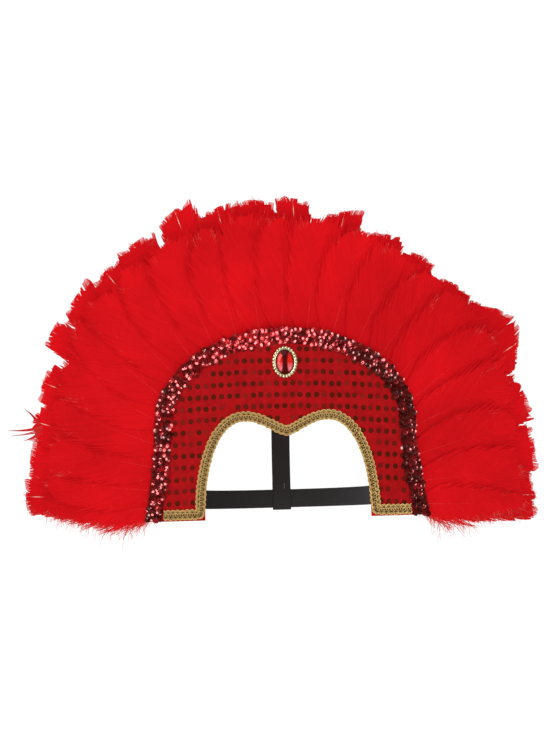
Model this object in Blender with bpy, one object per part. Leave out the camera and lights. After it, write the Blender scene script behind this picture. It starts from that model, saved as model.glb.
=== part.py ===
"""Carnival feather headdress: a bowed front panel with a widow's peak, its trims, a jewel,
two rows of feathers behind the outer edge and a pair of elastic straps.

Units are metres and +Z is up. The front faces -Y. The origin lies on the back of the panel at
the tip of the peak, where the headdress rests on the forehead.

Most pieces are laid out flat first, as (x, height, depth): x across, height above the feet of
the legs, and depth behind the back face of the panel. The bow of the panel then carries them
into space, so pieces that are clear of each other when flat stay clear when bowed.
"""

import math
from typing import NamedTuple

import bmesh
import bpy
import numpy as np

CLEARANCE = 0.0003

# Front panel, as its flat outline
PANEL_THICKNESS = 0.0022
PANEL_STATIONS = 45
PANEL_STRIPS = 5
FOOT_HALF_WIDTH = 0.1515
SHOULDER_HALF_WIDTH = 0.138
SHOULDER_HEIGHT = 0.100
CROWN_RISE = 0.0985
FLARE_CURVE = 1.5

# Face opening, two arches that meet in the peak
OPENING_HALF_WIDTH = 0.0874
ARCH_X = 0.0436
ARCH_HEIGHT = 0.1006
PEAK_HEIGHT = 0.084
ARCH_SQUARENESS = 2.15
PEAK_CURVE = 1.35
PEAK_MITRE = 1.12

# Bow of the panel: nearly round in the middle, nearly straight at the sides
BOW_ROUND = 0.125
BOW_SLOPE = 0.5

# Sequin trim on the outer edge
TRIM_WIDTH = 0.0182
TRIM_LOW = 0.0018
TRIM_HIGH = 0.0034
TRIM_PITCH = 0.0062
TRIM_SCALLOP = 0.0008

# Gold braid on the edge of the opening and under the legs
BRAID_WIDTH = 0.0108
BRAID_MARGIN = 0.0009
BRAID_LOW = 0.0013
BRAID_HIGH = 0.0023
BRAID_VALLEY = 0.0012
BRAID_PITCH = 0.0056
BRAID_SCALLOP = 0.0006

# Oval jewel: a beaded setting and a cut stone
JEWEL_GAP = 0.0012
STONE_HALF_WIDTH = 0.0098
STONE_HALF_HEIGHT = 0.0131
STONE_PAVILION = 0.0016
STONE_CROWN = 0.0013
STONE_TABLE = 0.0010
STONE_SIDES = 16
BEAD_RADIUS = 0.0016
BEAD_COUNT = 26
BEAD_SIDES = 10
BEAD_RINGS = 4
BEAD_SINK = 0.0007
SETTING_DEPTH = 0.0026
SETTING_FLOOR = 0.0010
SETTING_LIP = 0.0008

# Elastic straps
STRAP_WIDTH = 0.020
STRAP_THICKNESS = 0.0012
BAND_HEIGHT = 0.020
BAND_SEAM = 0.026
BAND_FOLD = 0.0032
BAND_DEPTH = 0.158
BAND_EASE = 0.0025
CROWN_SEAM_GAP = 0.034
CROWN_SEAM = 0.026
CROWN_ARC = 0.078
CROWN_TAIL = 0.008

# Feathers
FAN_HALF_WIDTH = 0.270
FAN_RISE = 0.281
FAN_CENTRE = 0.0525
FAN_SQUARENESS = 2.2
FAN_DROOP_DEG = 12.0
ROOT_INSET = 0.016
FEATHER_WIDTH = 0.056
SHINGLE = 0.105
QUILL = 0.0008
QUILL_TAPER = 0.6
SLANT_POWER = 6
VANE_FRONT = 0.0004
VANE_BACK = 0.0005
FRONT_BEND = -0.50
SMOOTH_DEG = 30.0

# Half width of a feather along its length, as shares of its full half width
VANE_STATIONS = (0.0, 0.09, 0.20, 0.34, 0.50, 0.66, 0.79, 0.88, 0.94, 0.98, 1.0)
VANE_FORMS = {
    "square": (0.06, 0.26, 0.60, 0.84, 0.95, 1.00, 1.00, 0.98, 0.93, 0.84, 0.66),
    "round": (0.06, 0.26, 0.60, 0.86, 0.97, 1.00, 0.96, 0.84, 0.68, 0.46, 0.20),
    "pointed": (0.06, 0.26, 0.58, 0.82, 0.95, 0.98, 0.88, 0.68, 0.46, 0.24, 0.05),
    "ragged": (0.06, 0.26, 0.60, 0.84, 0.97, 1.00, 0.86, 0.96, 0.70, 0.76, 0.34),
}


class Feather(NamedTuple):
    """One feather of the fan. Its lengths are shares of the fan's, and of FEATHER_WIDTH."""

    place: float  # along the fan, from the left foot to the right one
    reach: float  # length, as a share of the way from its root to the fan's edge
    width: float
    form: str
    curl: float  # sideways bend of the tip, as a share of the length
    slant: float  # cut of the tip, positive where its right side reaches further


BACK_ROW = (
    Feather(0.037, 1.060, 0.92, "square", -0.02, 0.25),
    Feather(0.080, 1.010, 0.98, "ragged", 0.00, -0.20),
    Feather(0.120, 0.990, 0.98, "ragged", 0.02, 0.10),
    Feather(0.163, 0.965, 0.94, "square", -0.02, -0.15),
    Feather(0.208, 1.040, 0.94, "round", 0.02, 0.00),
    Feather(0.256, 0.995, 1.02, "square", 0.02, 0.35),
    Feather(0.300, 0.995, 0.98, "pointed", 0.00, 0.00),
    Feather(0.343, 0.985, 1.02, "square", -0.02, 0.25),
    Feather(0.390, 1.030, 1.02, "square", 0.02, 0.45),
    Feather(0.435, 0.990, 1.00, "round", 0.00, 0.00),
    Feather(0.478, 1.000, 0.98, "ragged", -0.02, 0.15),
    Feather(0.520, 1.015, 0.92, "round", 0.02, -0.15),
    Feather(0.565, 0.945, 1.06, "square", 0.00, -0.10),
    Feather(0.614, 0.915, 1.00, "round", -0.02, 0.00),
    Feather(0.662, 0.860, 1.00, "ragged", 0.02, -0.20),
    Feather(0.712, 0.880, 1.04, "pointed", 0.00, -0.15),
    Feather(0.762, 0.930, 1.02, "square", 0.02, -0.30),
    Feather(0.811, 0.995, 1.02, "square", 0.00, -0.15),
    Feather(0.863, 0.955, 1.04, "round", -0.02, 0.00),
    Feather(0.913, 0.960, 1.02, "square", 0.02, 0.15),
    Feather(0.961, 0.975, 0.94, "round", 0.00, 0.20),
)
FRONT_ROW = (
    Feather(0.020, 0.900, 0.84, "ragged", 0.03, 0.00),
    Feather(0.058, 0.890, 0.92, "round", 0.00, 0.10),
    Feather(0.100, 0.870, 0.96, "square", -0.02, -0.15),
    Feather(0.142, 0.890, 0.94, "round", 0.02, 0.00),
    Feather(0.186, 0.880, 0.96, "square", 0.00, 0.20),
    Feather(0.232, 0.910, 0.98, "round", 0.02, 0.00),
    Feather(0.278, 0.890, 1.00, "square", -0.02, -0.20),
    Feather(0.321, 0.900, 0.96, "round", 0.00, 0.00),
    Feather(0.367, 0.890, 1.00, "square", 0.02, 0.15),
    Feather(0.413, 0.880, 0.98, "pointed", 0.00, 0.00),
    Feather(0.456, 0.900, 0.96, "square", 0.02, -0.10),
    Feather(0.499, 0.870, 0.96, "round", 0.00, 0.00),
    Feather(0.543, 0.870, 0.98, "square", -0.02, 0.15),
    Feather(0.591, 0.850, 1.02, "round", 0.02, 0.00),
    Feather(0.640, 0.820, 1.02, "square", 0.00, -0.15),
    Feather(0.689, 0.810, 1.02, "round", 0.02, 0.00),
    Feather(0.738, 0.850, 1.02, "square", 0.00, 0.10),
    Feather(0.788, 0.880, 1.00, "round", -0.02, 0.00),
    Feather(0.837, 0.880, 0.98, "square", 0.01, -0.15),
    Feather(0.888, 0.870, 1.00, "round", 0.00, 0.00),
    Feather(0.938, 0.880, 0.96, "square", 0.02, 0.15),
    Feather(0.981, 0.940, 0.94, "round", -0.03, 0.00),
)

# Finishes: colour, roughness, metallic
FINISHES = {
    "sequin_fabric": ((0.62, 0.02, 0.02), 0.55, 0.0),
    "sequin_trim": ((0.45, 0.01, 0.02), 0.25, 0.6),
    "gold_braid": ((0.72, 0.52, 0.16), 0.40, 0.8),
    "gold_setting": ((0.80, 0.70, 0.38), 0.30, 1.0),
    "red_stone": ((0.50, 0.00, 0.01), 0.05, 0.0),
    "black_elastic": ((0.02, 0.02, 0.02), 0.85, 0.0),
    "red_feather": ((0.75, 0.01, 0.02), 0.80, 0.0),
}


# Bow and outlines


def bow(x):
    """How far the bowed panel lies behind its middle at x: a hyperbola."""
    return BOW_SLOPE * (np.sqrt(np.square(x) + BOW_ROUND**2) - BOW_ROUND)


def bow_slope(x):
    """Slope of the bow at x."""
    return BOW_SLOPE * x / math.sqrt(x * x + BOW_ROUND**2)


def in_space(x, height, depth):
    """Carries flat points onto the bowed panel."""
    x, height, depth = np.broadcast_arrays(x, height, depth)
    return np.stack([x, bow(x) + depth, height - PEAK_HEIGHT], axis=-1)


def panel_half_width(height):
    """Half width of the panel at a height below its shoulders, where the legs flare."""
    flare = FOOT_HALF_WIDTH - SHOULDER_HALF_WIDTH
    return SHOULDER_HALF_WIDTH + flare * (1 - height / SHOULDER_HEIGHT) ** FLARE_CURVE


def along(line, shares):
    """Points at the given shares of a polyline's length."""
    steps = np.linalg.norm(np.diff(line, axis=0), axis=1)
    walked = np.concatenate([[0.0], np.cumsum(steps)])
    places = np.asarray(shares) * walked[-1]
    return np.column_stack([np.interp(places, walked, line[:, k]) for k in (0, 1)])


def length_of(line):
    """Length of a polyline."""
    return float(np.linalg.norm(np.diff(line, axis=0), axis=1).sum())


def mirrored(half):
    """A whole outline, left to right, from its right half that runs from foot to middle."""
    left = half * (-1.0, 1.0)
    return np.concatenate([left, half[-2::-1]])


def outer_edge(inset=0.0):
    """Outer outline of the panel, moved inwards by inset: flared legs under half an ellipse."""
    height = np.linspace(0.0, SHOULDER_HEIGHT, 50, endpoint=False)
    leg = np.column_stack([panel_half_width(height) - inset, height])
    turn = np.linspace(0.0, math.pi / 2, 80)
    crown = np.column_stack(
        [
            (SHOULDER_HALF_WIDTH - inset) * np.cos(turn),
            SHOULDER_HEIGHT + (CROWN_RISE - inset) * np.sin(turn),
        ]
    )
    crown[-1, 0] = 0.0
    return mirrored(np.concatenate([leg, crown]))


def arch_half(inset=0.0):
    """Right half of the opening's edge, from the foot over the arch down to the peak."""
    turn = np.linspace(0.0, math.pi / 2, 80)
    power = 2 / ARCH_SQUARENESS
    top = ARCH_HEIGHT + inset
    arch = np.column_stack(
        [
            ARCH_X + (OPENING_HALF_WIDTH + inset - ARCH_X) * np.abs(np.cos(turn)) ** power,
            top * np.sin(turn) ** power,
        ]
    )
    x = np.linspace(ARCH_X, 0.0, 40)[1:]
    tip = PEAK_HEIGHT + PEAK_MITRE * inset
    peak = np.column_stack(
        [x, tip + (top - tip) * np.sin(math.pi / 2 * x / ARCH_X) ** PEAK_CURVE]
    )
    return np.concatenate([arch, peak])


def fan_edge():
    """Mean outline of the feather tips: a superellipse from foot to foot."""
    turn = np.radians(np.linspace(180 + FAN_DROOP_DEG, -FAN_DROOP_DEG, 400))
    power = 2 / FAN_SQUARENESS
    c, s = np.cos(turn), np.sin(turn)
    return np.column_stack(
        [
            FAN_HALF_WIDTH * np.sign(c) * np.abs(c) ** power,
            FAN_CENTRE + FAN_RISE * np.sign(s) * np.abs(s) ** power,
        ]
    )


# Meshes


def finish(name):
    """Material for one finish."""
    if name in bpy.data.materials:
        return bpy.data.materials[name]
    colour, roughness, metallic = FINISHES[name]
    material = bpy.data.materials.new(name)
    material.use_nodes = True
    shader = material.node_tree.nodes["Principled BSDF"]
    shader.inputs["Base Color"].default_value = (*colour, 1.0)
    shader.inputs["Roughness"].default_value = roughness
    shader.inputs["Metallic"].default_value = metallic
    return material


def add_object(name, bm, finish_name, hidden=False, smooth=True):
    """Puts a mesh in the scene with its faces turned outwards."""
    bmesh.ops.recalc_face_normals(bm, faces=bm.faces)
    mesh = bpy.data.meshes.new(name)
    bm.to_mesh(mesh)
    bm.free()
    if smooth:
        mesh.shade_smooth()
        mesh.set_sharp_from_angle(angle=math.radians(SMOOTH_DEG))
    mesh.materials.append(finish(finish_name))
    piece = bpy.data.objects.new(name, mesh)
    bpy.context.scene.collection.objects.link(piece)
    if hidden:
        piece.hide_render = True
        piece.display_type = "WIRE"
    return piece


def skin(sections):
    """A closed solid through a run of closed sections, all with the same number of points."""
    bm = bmesh.new()
    rings = [[bm.verts.new(point) for point in section] for section in sections]
    count = len(rings[0])
    for ring, after in zip(rings, rings[1:]):
        for k in range(count):
            j = (k + 1) % count
            bm.faces.new((ring[k], ring[j], after[j], after[k]))
    bm.faces.new(rings[0])
    bm.faces.new(rings[-1][::-1])
    return bm


def strap_sections(centre, normal, across):
    """Four-cornered sections of a flat strap along a centre line."""
    half_t = STRAP_THICKNESS / 2
    half_w = STRAP_WIDTH / 2
    corners = ((-half_t, -half_w), (half_t, -half_w), (half_t, half_w), (-half_t, half_w))
    return [
        [point + t * out + w * across for t, w in corners]
        for point, out in zip(centre, normal)
    ]


def left_normals(line):
    """Unit normals on the left of a plane polyline's direction."""
    tangent = np.gradient(line, axis=0)
    tangent /= np.linalg.norm(tangent, axis=1)[:, None]
    return np.column_stack([-tangent[:, 1], tangent[:, 0]])


# Front panel and its trims


def add_front_panel():
    """Stiff panel covered in fabric, from the edge of the opening to the outer edge."""
    across = np.linspace(0.0, 1.0, PANEL_STRIPS + 1)
    shares = np.linspace(0.0, 1.0, PANEL_STATIONS)
    inner = along(mirrored(arch_half()), shares)
    outer = along(outer_edge(), shares)
    sections = []
    for a, b in zip(inner, outer):
        line = a + np.outer(across, b - a)
        back = in_space(line[:, 0], line[:, 1], 0.0)
        front = in_space(line[:, 0], line[:, 1], -PANEL_THICKNESS)
        sections.append(np.concatenate([back, front[::-1]]))
    add_object("front_panel", skin(sections), "sequin_fabric")


def add_sequin_trim():
    """Band of overlapping cup sequins on the outer edge, with bumps in three staggered rows."""
    seat = -PANEL_THICKNESS - CLEARANCE
    outside = outer_edge()
    inside = outer_edge(TRIM_WIDTH)
    count = 2 * round(length_of(outside) / TRIM_PITCH / 2) + 1
    shares = np.linspace(0.0, 1.0, count)
    rim = along(outside, shares)
    lip = along(inside, shares)
    sections = []
    for k, (a, b) in enumerate(zip(rim, lip)):
        step = (b - a) / np.linalg.norm(b - a)
        bulge = TRIM_SCALLOP if k % 2 else 0.0
        a = a + step * (TRIM_SCALLOP - bulge)
        b = b - step * bulge
        line = a + np.outer(np.linspace(0.0, 1.0, 4), b - a)
        odd, even = (TRIM_HIGH, TRIM_LOW) if k % 2 else (TRIM_LOW, TRIM_HIGH)
        rise = np.array([odd, even, odd, even])
        top = in_space(line[:, 0], line[:, 1], seat - rise)
        back = in_space(line[[0, 3], 0], line[[0, 3], 1], seat)
        sections.append(np.concatenate([back[:1], top, back[1:]]))
    add_object("sequin_trim", skin(sections), "sequin_trim")


def braid_path():
    """Matching points on the two edges of the braid, from foot to foot."""
    near = arch_half(BRAID_MARGIN)
    far = arch_half(BRAID_MARGIN + BRAID_WIDTH)
    near = near[near[:, 1] > BRAID_MARGIN]
    far = far[far[:, 1] > BRAID_MARGIN + BRAID_WIDTH]
    near_corner = np.array([OPENING_HALF_WIDTH + BRAID_MARGIN, BRAID_MARGIN])
    far_corner = near_corner + BRAID_WIDTH
    near = np.concatenate([[near_corner], near])
    far = np.concatenate([[far_corner], far])
    end_x = panel_half_width(far_corner[1]) - TRIM_WIDTH - TRIM_SCALLOP - BRAID_SCALLOP - CLEARANCE
    foot_count = 2 * max(1, round((end_x - near_corner[0]) / BRAID_PITCH / 2))
    arch_count = 2 * round(length_of(near) / BRAID_PITCH / 2)
    foot = np.linspace(0.0, 1.0, foot_count + 1)[:-1]
    arch = np.linspace(0.0, 1.0, arch_count + 1)
    lines = []
    for corner, edge in ((near_corner, near), (far_corner, far)):
        start = np.array([end_x, corner[1]])
        run = start + np.outer(foot, corner - start)
        lines.append(mirrored(np.concatenate([run, along(edge, arch)])))
    return lines


def add_gold_braid():
    """Gimp braid: two rows of loops with a valley between them."""
    seat = -PANEL_THICKNESS - CLEARANCE
    near, far = braid_path()
    sections = []
    for k, (a, b) in enumerate(zip(near, far)):
        step = (b - a) / np.linalg.norm(b - a)
        tuck = 0.0 if k % 2 else BRAID_SCALLOP
        a = a + step * tuck
        b = b - step * tuck
        crest = BRAID_HIGH if k % 2 else BRAID_LOW
        valley = BRAID_VALLEY if k % 2 else BRAID_HIGH - BRAID_SCALLOP
        line = a + np.outer((0.0, 0.25, 0.5, 0.75, 1.0), b - a)
        rise = np.array([crest * 0.7, crest, valley, crest, crest * 0.7])
        top = in_space(line[:, 0], line[:, 1], seat - rise)
        back = in_space(line[[0, 4], 0], line[[0, 4], 1], seat)
        sections.append(np.concatenate([back[:1], top, back[1:]]))
    add_object("gold_braid", skin(sections), "gold_braid")


# Jewel


def setting_half_sizes():
    """Half width and half height of the cup that holds the stone, without its beads."""
    wall = CLEARANCE + SETTING_LIP
    return STONE_HALF_WIDTH + wall, STONE_HALF_HEIGHT + wall


def jewel_z():
    """Height of the jewel's centre, with its top bead just under the trim."""
    trim_lip = SHOULDER_HEIGHT + CROWN_RISE - TRIM_WIDTH - TRIM_SCALLOP
    reach = setting_half_sizes()[1] - BEAD_SINK + 2 * BEAD_RADIUS
    return trim_lip - JEWEL_GAP - reach - PEAK_HEIGHT


def oval(half_width, half_height, height, sides, turn=0.0):
    """Points of an oval that faces the front, at a height in front of the panel."""
    angle = np.linspace(0.0, 2 * math.pi, sides, endpoint=False) + turn
    y = -PANEL_THICKNESS - CLEARANCE - height
    return np.column_stack(
        [
            half_width * np.cos(angle),
            np.full(sides, y),
            jewel_z() + half_height * np.sin(angle),
        ]
    )


def add_red_stone():
    """Oval cut stone: flat back, girdle, two rows of crown facets and a table."""
    half_step = math.pi / STONE_SIDES
    back = SETTING_FLOOR + CLEARANCE
    girdle = back + STONE_PAVILION
    rings = []
    for share, height, turn in (
        (0.62, back, 0.0),
        (1.0, girdle, 0.0),
        (0.79, girdle + STONE_CROWN, half_step),
        (0.55, girdle + STONE_CROWN + STONE_TABLE, 0.0),
    ):
        rings.append(
            oval(STONE_HALF_WIDTH * share, STONE_HALF_HEIGHT * share, height, STONE_SIDES, turn)
        )
    bm = bmesh.new()
    rows = [[bm.verts.new(point) for point in ring] for ring in rings]
    n = STONE_SIDES
    for k in range(n):
        j = (k + 1) % n
        bm.faces.new((rows[0][k], rows[0][j], rows[1][j], rows[1][k]))
        bm.faces.new((rows[1][k], rows[1][j], rows[2][k]))
        bm.faces.new((rows[1][j], rows[2][j], rows[2][k]))
        bm.faces.new((rows[2][k], rows[2][j], rows[3][j]))
        bm.faces.new((rows[2][k], rows[3][j], rows[3][k]))
    bm.faces.new(rows[0])
    bm.faces.new(rows[3])
    add_object("red_stone", bm, "red_stone", smooth=False)


def add_gold_setting():
    """Oval cup with a ring of beads soldered round its rim."""
    outer_w, outer_h = setting_half_sizes()
    inner_w, inner_h = outer_w - SETTING_LIP, outer_h - SETTING_LIP
    rows = [
        oval(outer_w, outer_h, 0.0, BEAD_COUNT),
        oval(outer_w, outer_h, SETTING_DEPTH, BEAD_COUNT),
        oval(inner_w, inner_h, SETTING_DEPTH, BEAD_COUNT),
        oval(inner_w, inner_h, SETTING_FLOOR, BEAD_COUNT),
    ]
    cup = add_object("gold_setting", skin(rows), "gold_setting")
    beads = bmesh.new()
    out = BEAD_RADIUS - BEAD_SINK
    y = -PANEL_THICKNESS - CLEARANCE - BEAD_RADIUS
    for x, z in along_oval(outer_w + out, outer_h + out, BEAD_COUNT):
        made = bmesh.ops.create_uvsphere(
            beads, u_segments=BEAD_SIDES, v_segments=BEAD_RINGS, radius=BEAD_RADIUS
        )
        bmesh.ops.translate(beads, verts=made["verts"], vec=(x, y, jewel_z() + z))
    guide = add_object("bead_ring_guide", beads, "gold_setting", hidden=True)
    union = cup.modifiers.new("beads", "BOOLEAN")
    union.operation = "UNION"
    union.solver = "EXACT"
    union.object = guide


def along_oval(half_width, half_height, count):
    """Evenly spaced points round an oval."""
    angle = np.linspace(0.0, 2 * math.pi, 721)
    line = np.column_stack([half_width * np.cos(angle), half_height * np.sin(angle)])
    return along(line, np.arange(count) / count)


# Straps


def band_plan():
    """Centre line of the head band, seen from above, from seam to seam."""
    seat = CLEARANCE + STRAP_THICKNESS / 2
    fold_x = OPENING_HALF_WIDTH + BAND_FOLD
    seam = np.linspace(fold_x + BAND_SEAM, fold_x, 6)
    seam_line = np.column_stack([seam, bow(seam) + seat])
    lean = math.atan(bow_slope(fold_x))
    pivot = seam_line[-1] + BAND_FOLD * np.array([-math.sin(lean), math.cos(lean)])
    turn = np.linspace(-math.pi / 2 + lean, -math.pi, 6)[1:]
    fold_line = pivot + BAND_FOLD * np.column_stack([np.cos(turn), np.sin(turn)])
    start_x, start_y = fold_line[-1]
    flat = STRAP_WIDTH / 2 + BAND_EASE
    angle = np.linspace(0.0, math.pi / 2, 17)[1:]
    loop = np.column_stack(
        [
            flat + (start_x - flat) * np.cos(angle),
            start_y + BAND_DEPTH * np.sin(angle),
        ]
    )
    half = np.concatenate([seam_line, fold_line, loop])
    return np.concatenate([half, half[::-1] * (-1.0, 1.0)])


def add_head_band():
    """Elastic band from the back of one leg round the head to the other."""
    plan = band_plan()
    height = BAND_HEIGHT - PEAK_HEIGHT
    centre = np.column_stack([plan, np.full(len(plan), height)])
    side = left_normals(plan)
    normal = np.column_stack([side, np.zeros(len(plan))])
    sections = strap_sections(centre, normal, np.array([0.0, 0.0, 1.0]))
    add_object("head_band", skin(sections), "black_elastic")


def crown_profile():
    """Centre line of the crown strap in the middle plane, as (y, height)."""
    seat = CLEARANCE + STRAP_THICKNESS / 2
    ply = STRAP_THICKNESS + CLEARANCE
    back_y = band_plan()[:, 1].max()
    inner_y = back_y - ply
    band_foot = BAND_HEIGHT - STRAP_WIDTH / 2
    band_top = BAND_HEIGHT + STRAP_WIDTH / 2
    seam_foot = PEAK_HEIGHT + CROWN_SEAM_GAP
    seam_top = seam_foot + CROWN_SEAM
    seam = np.array([[seat, seam_foot], [seat, seam_top]])
    angle = np.linspace(0.0, math.pi, 26)[1:]
    fall = band_top + CROWN_TAIL - seam_top
    arc = np.column_stack(
        [
            (seat + inner_y) / 2 - (inner_y - seat) / 2 * np.cos(angle),
            seam_top + fall * angle / math.pi + CROWN_ARC * np.sin(angle),
        ]
    )
    turn_foot = band_foot - CLEARANCE
    turn = np.linspace(math.pi, 2 * math.pi, 8)
    hook = np.column_stack([back_y + ply * np.cos(turn), turn_foot + ply * np.sin(turn)])
    tail = np.array([[back_y + ply, band_top + CROWN_TAIL]])
    return np.concatenate([seam, arc, hook, tail])


def add_crown_strap():
    """Elastic strap from the panel over the crown of the head, looped round the head band."""
    profile = crown_profile()
    zero = np.zeros(len(profile))
    centre = np.column_stack([zero, profile[:, 0], profile[:, 1] - PEAK_HEIGHT])
    side = left_normals(profile)
    normal = np.column_stack([zero, side])
    sections = strap_sections(centre, normal, np.array([1.0, 0.0, 0.0]))
    add_object("crown_strap", skin(sections), "black_elastic")


# Feathers


def add_feather(name, shape, seat, slope=0.0, bend=0.0):
    """One feather, laid along the line from its root on the panel to its place on the fan.

    Neighbours tilt the same way, like shingles, so that they overlap without touching.
    """
    root = along(outer_edge(ROOT_INSET), [shape.place])[0]
    tip = root + shape.reach * (along(fan_edge(), [shape.place])[0] - root)
    length = np.linalg.norm(tip - root)
    ahead = (tip - root) / length
    aside = np.array([ahead[1], -ahead[0]])
    sections = []
    for t, share in zip(VANE_STATIONS, VANE_FORMS[shape.form]):
        middle = root + ahead * length * t + aside * shape.curl * length * t**2
        half = FEATHER_WIDTH / 2 * shape.width * share
        past_edge = max(0.0, length * t - ROOT_INSET)
        depth = seat + slope * past_edge + bend * past_edge**2
        rib = QUILL * (1 - QUILL_TAPER * t)
        offset = half * np.array([-1.0, 0.0, 1.0, 1.0, 0.0, -1.0])
        rise = np.array([-VANE_FRONT, -rib, -VANE_FRONT, VANE_BACK, rib, VANE_BACK])
        cut = shape.slant * t**SLANT_POWER * offset
        flat = middle + np.outer(offset, aside) + np.outer(cut, ahead)
        sections.append(in_space(flat[:, 0], flat[:, 1], depth + SHINGLE * offset + rise))
    add_object(name, skin(sections), "red_feather")


def add_feathers():
    """Both rows. The front row lies on the back of the panel and curls forwards.

    The back row lies behind it and leans away by as much as the vanes tilt.
    """
    tilt = SHINGLE * FEATHER_WIDTH / 2 * VANE_FORMS["square"][1]
    front_seat = CLEARANCE + VANE_FRONT + tilt + QUILL
    back_seat = front_seat + CLEARANCE + VANE_FRONT + 2 * tilt + QUILL
    for number, shape in enumerate(FRONT_ROW, start=1):
        add_feather(f"front_feather_{number:02d}", shape, front_seat, bend=FRONT_BEND)
    for number, shape in enumerate(BACK_ROW, start=1):
        add_feather(f"back_feather_{number:02d}", shape, back_seat, slope=SHINGLE)


def main():
    """Clears the scene and builds every piece."""
    for old in list(bpy.data.objects):
        bpy.data.objects.remove(old, do_unlink=True)
    add_front_panel()
    add_sequin_trim()
    add_gold_braid()
    add_gold_setting()
    add_red_stone()
    add_head_band()
    add_crown_strap()
    add_feathers()


main()
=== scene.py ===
"""Looks of a carnival feather headdress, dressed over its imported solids.

Lengths are metres and +Z is up. The front faces -Y. The flat pieces are worked out first as
(x, height, depth): x across, height above the feet of the legs, and depth behind the back face
of the panel. The bow of the panel then carries them into space, as it does for the solids.
"""

import logging
import math
from dataclasses import dataclass, field
from enum import Enum
from typing import NamedTuple

import bmesh
import bpy
import numpy as np
from mathutils import Matrix, Vector


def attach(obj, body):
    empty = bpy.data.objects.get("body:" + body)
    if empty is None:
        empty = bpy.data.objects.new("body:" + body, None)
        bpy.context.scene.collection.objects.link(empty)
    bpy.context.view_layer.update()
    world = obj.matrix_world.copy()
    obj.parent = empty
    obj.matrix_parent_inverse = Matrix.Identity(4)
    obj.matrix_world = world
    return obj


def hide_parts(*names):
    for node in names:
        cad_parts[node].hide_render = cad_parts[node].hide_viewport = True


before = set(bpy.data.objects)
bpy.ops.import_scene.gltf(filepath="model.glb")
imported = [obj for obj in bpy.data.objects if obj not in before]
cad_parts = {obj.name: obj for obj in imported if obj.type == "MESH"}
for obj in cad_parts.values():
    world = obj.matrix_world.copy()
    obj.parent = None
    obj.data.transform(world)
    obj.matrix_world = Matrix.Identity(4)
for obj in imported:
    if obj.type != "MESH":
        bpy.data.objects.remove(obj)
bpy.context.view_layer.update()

LOG = logging.getLogger("headdress")
BODY = "root"
RIGHT, UP = (1.0, 0.0, 0.0), (0.0, 0.0, 1.0)
TRIM_WIDTH = 0.0182
STONE_HALF = (0.0098, 0.0131)
STONE_Z = 0.0776
ANY_TURN = (0.0, 6.28)


# Flat plan of the panel and its bow


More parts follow.
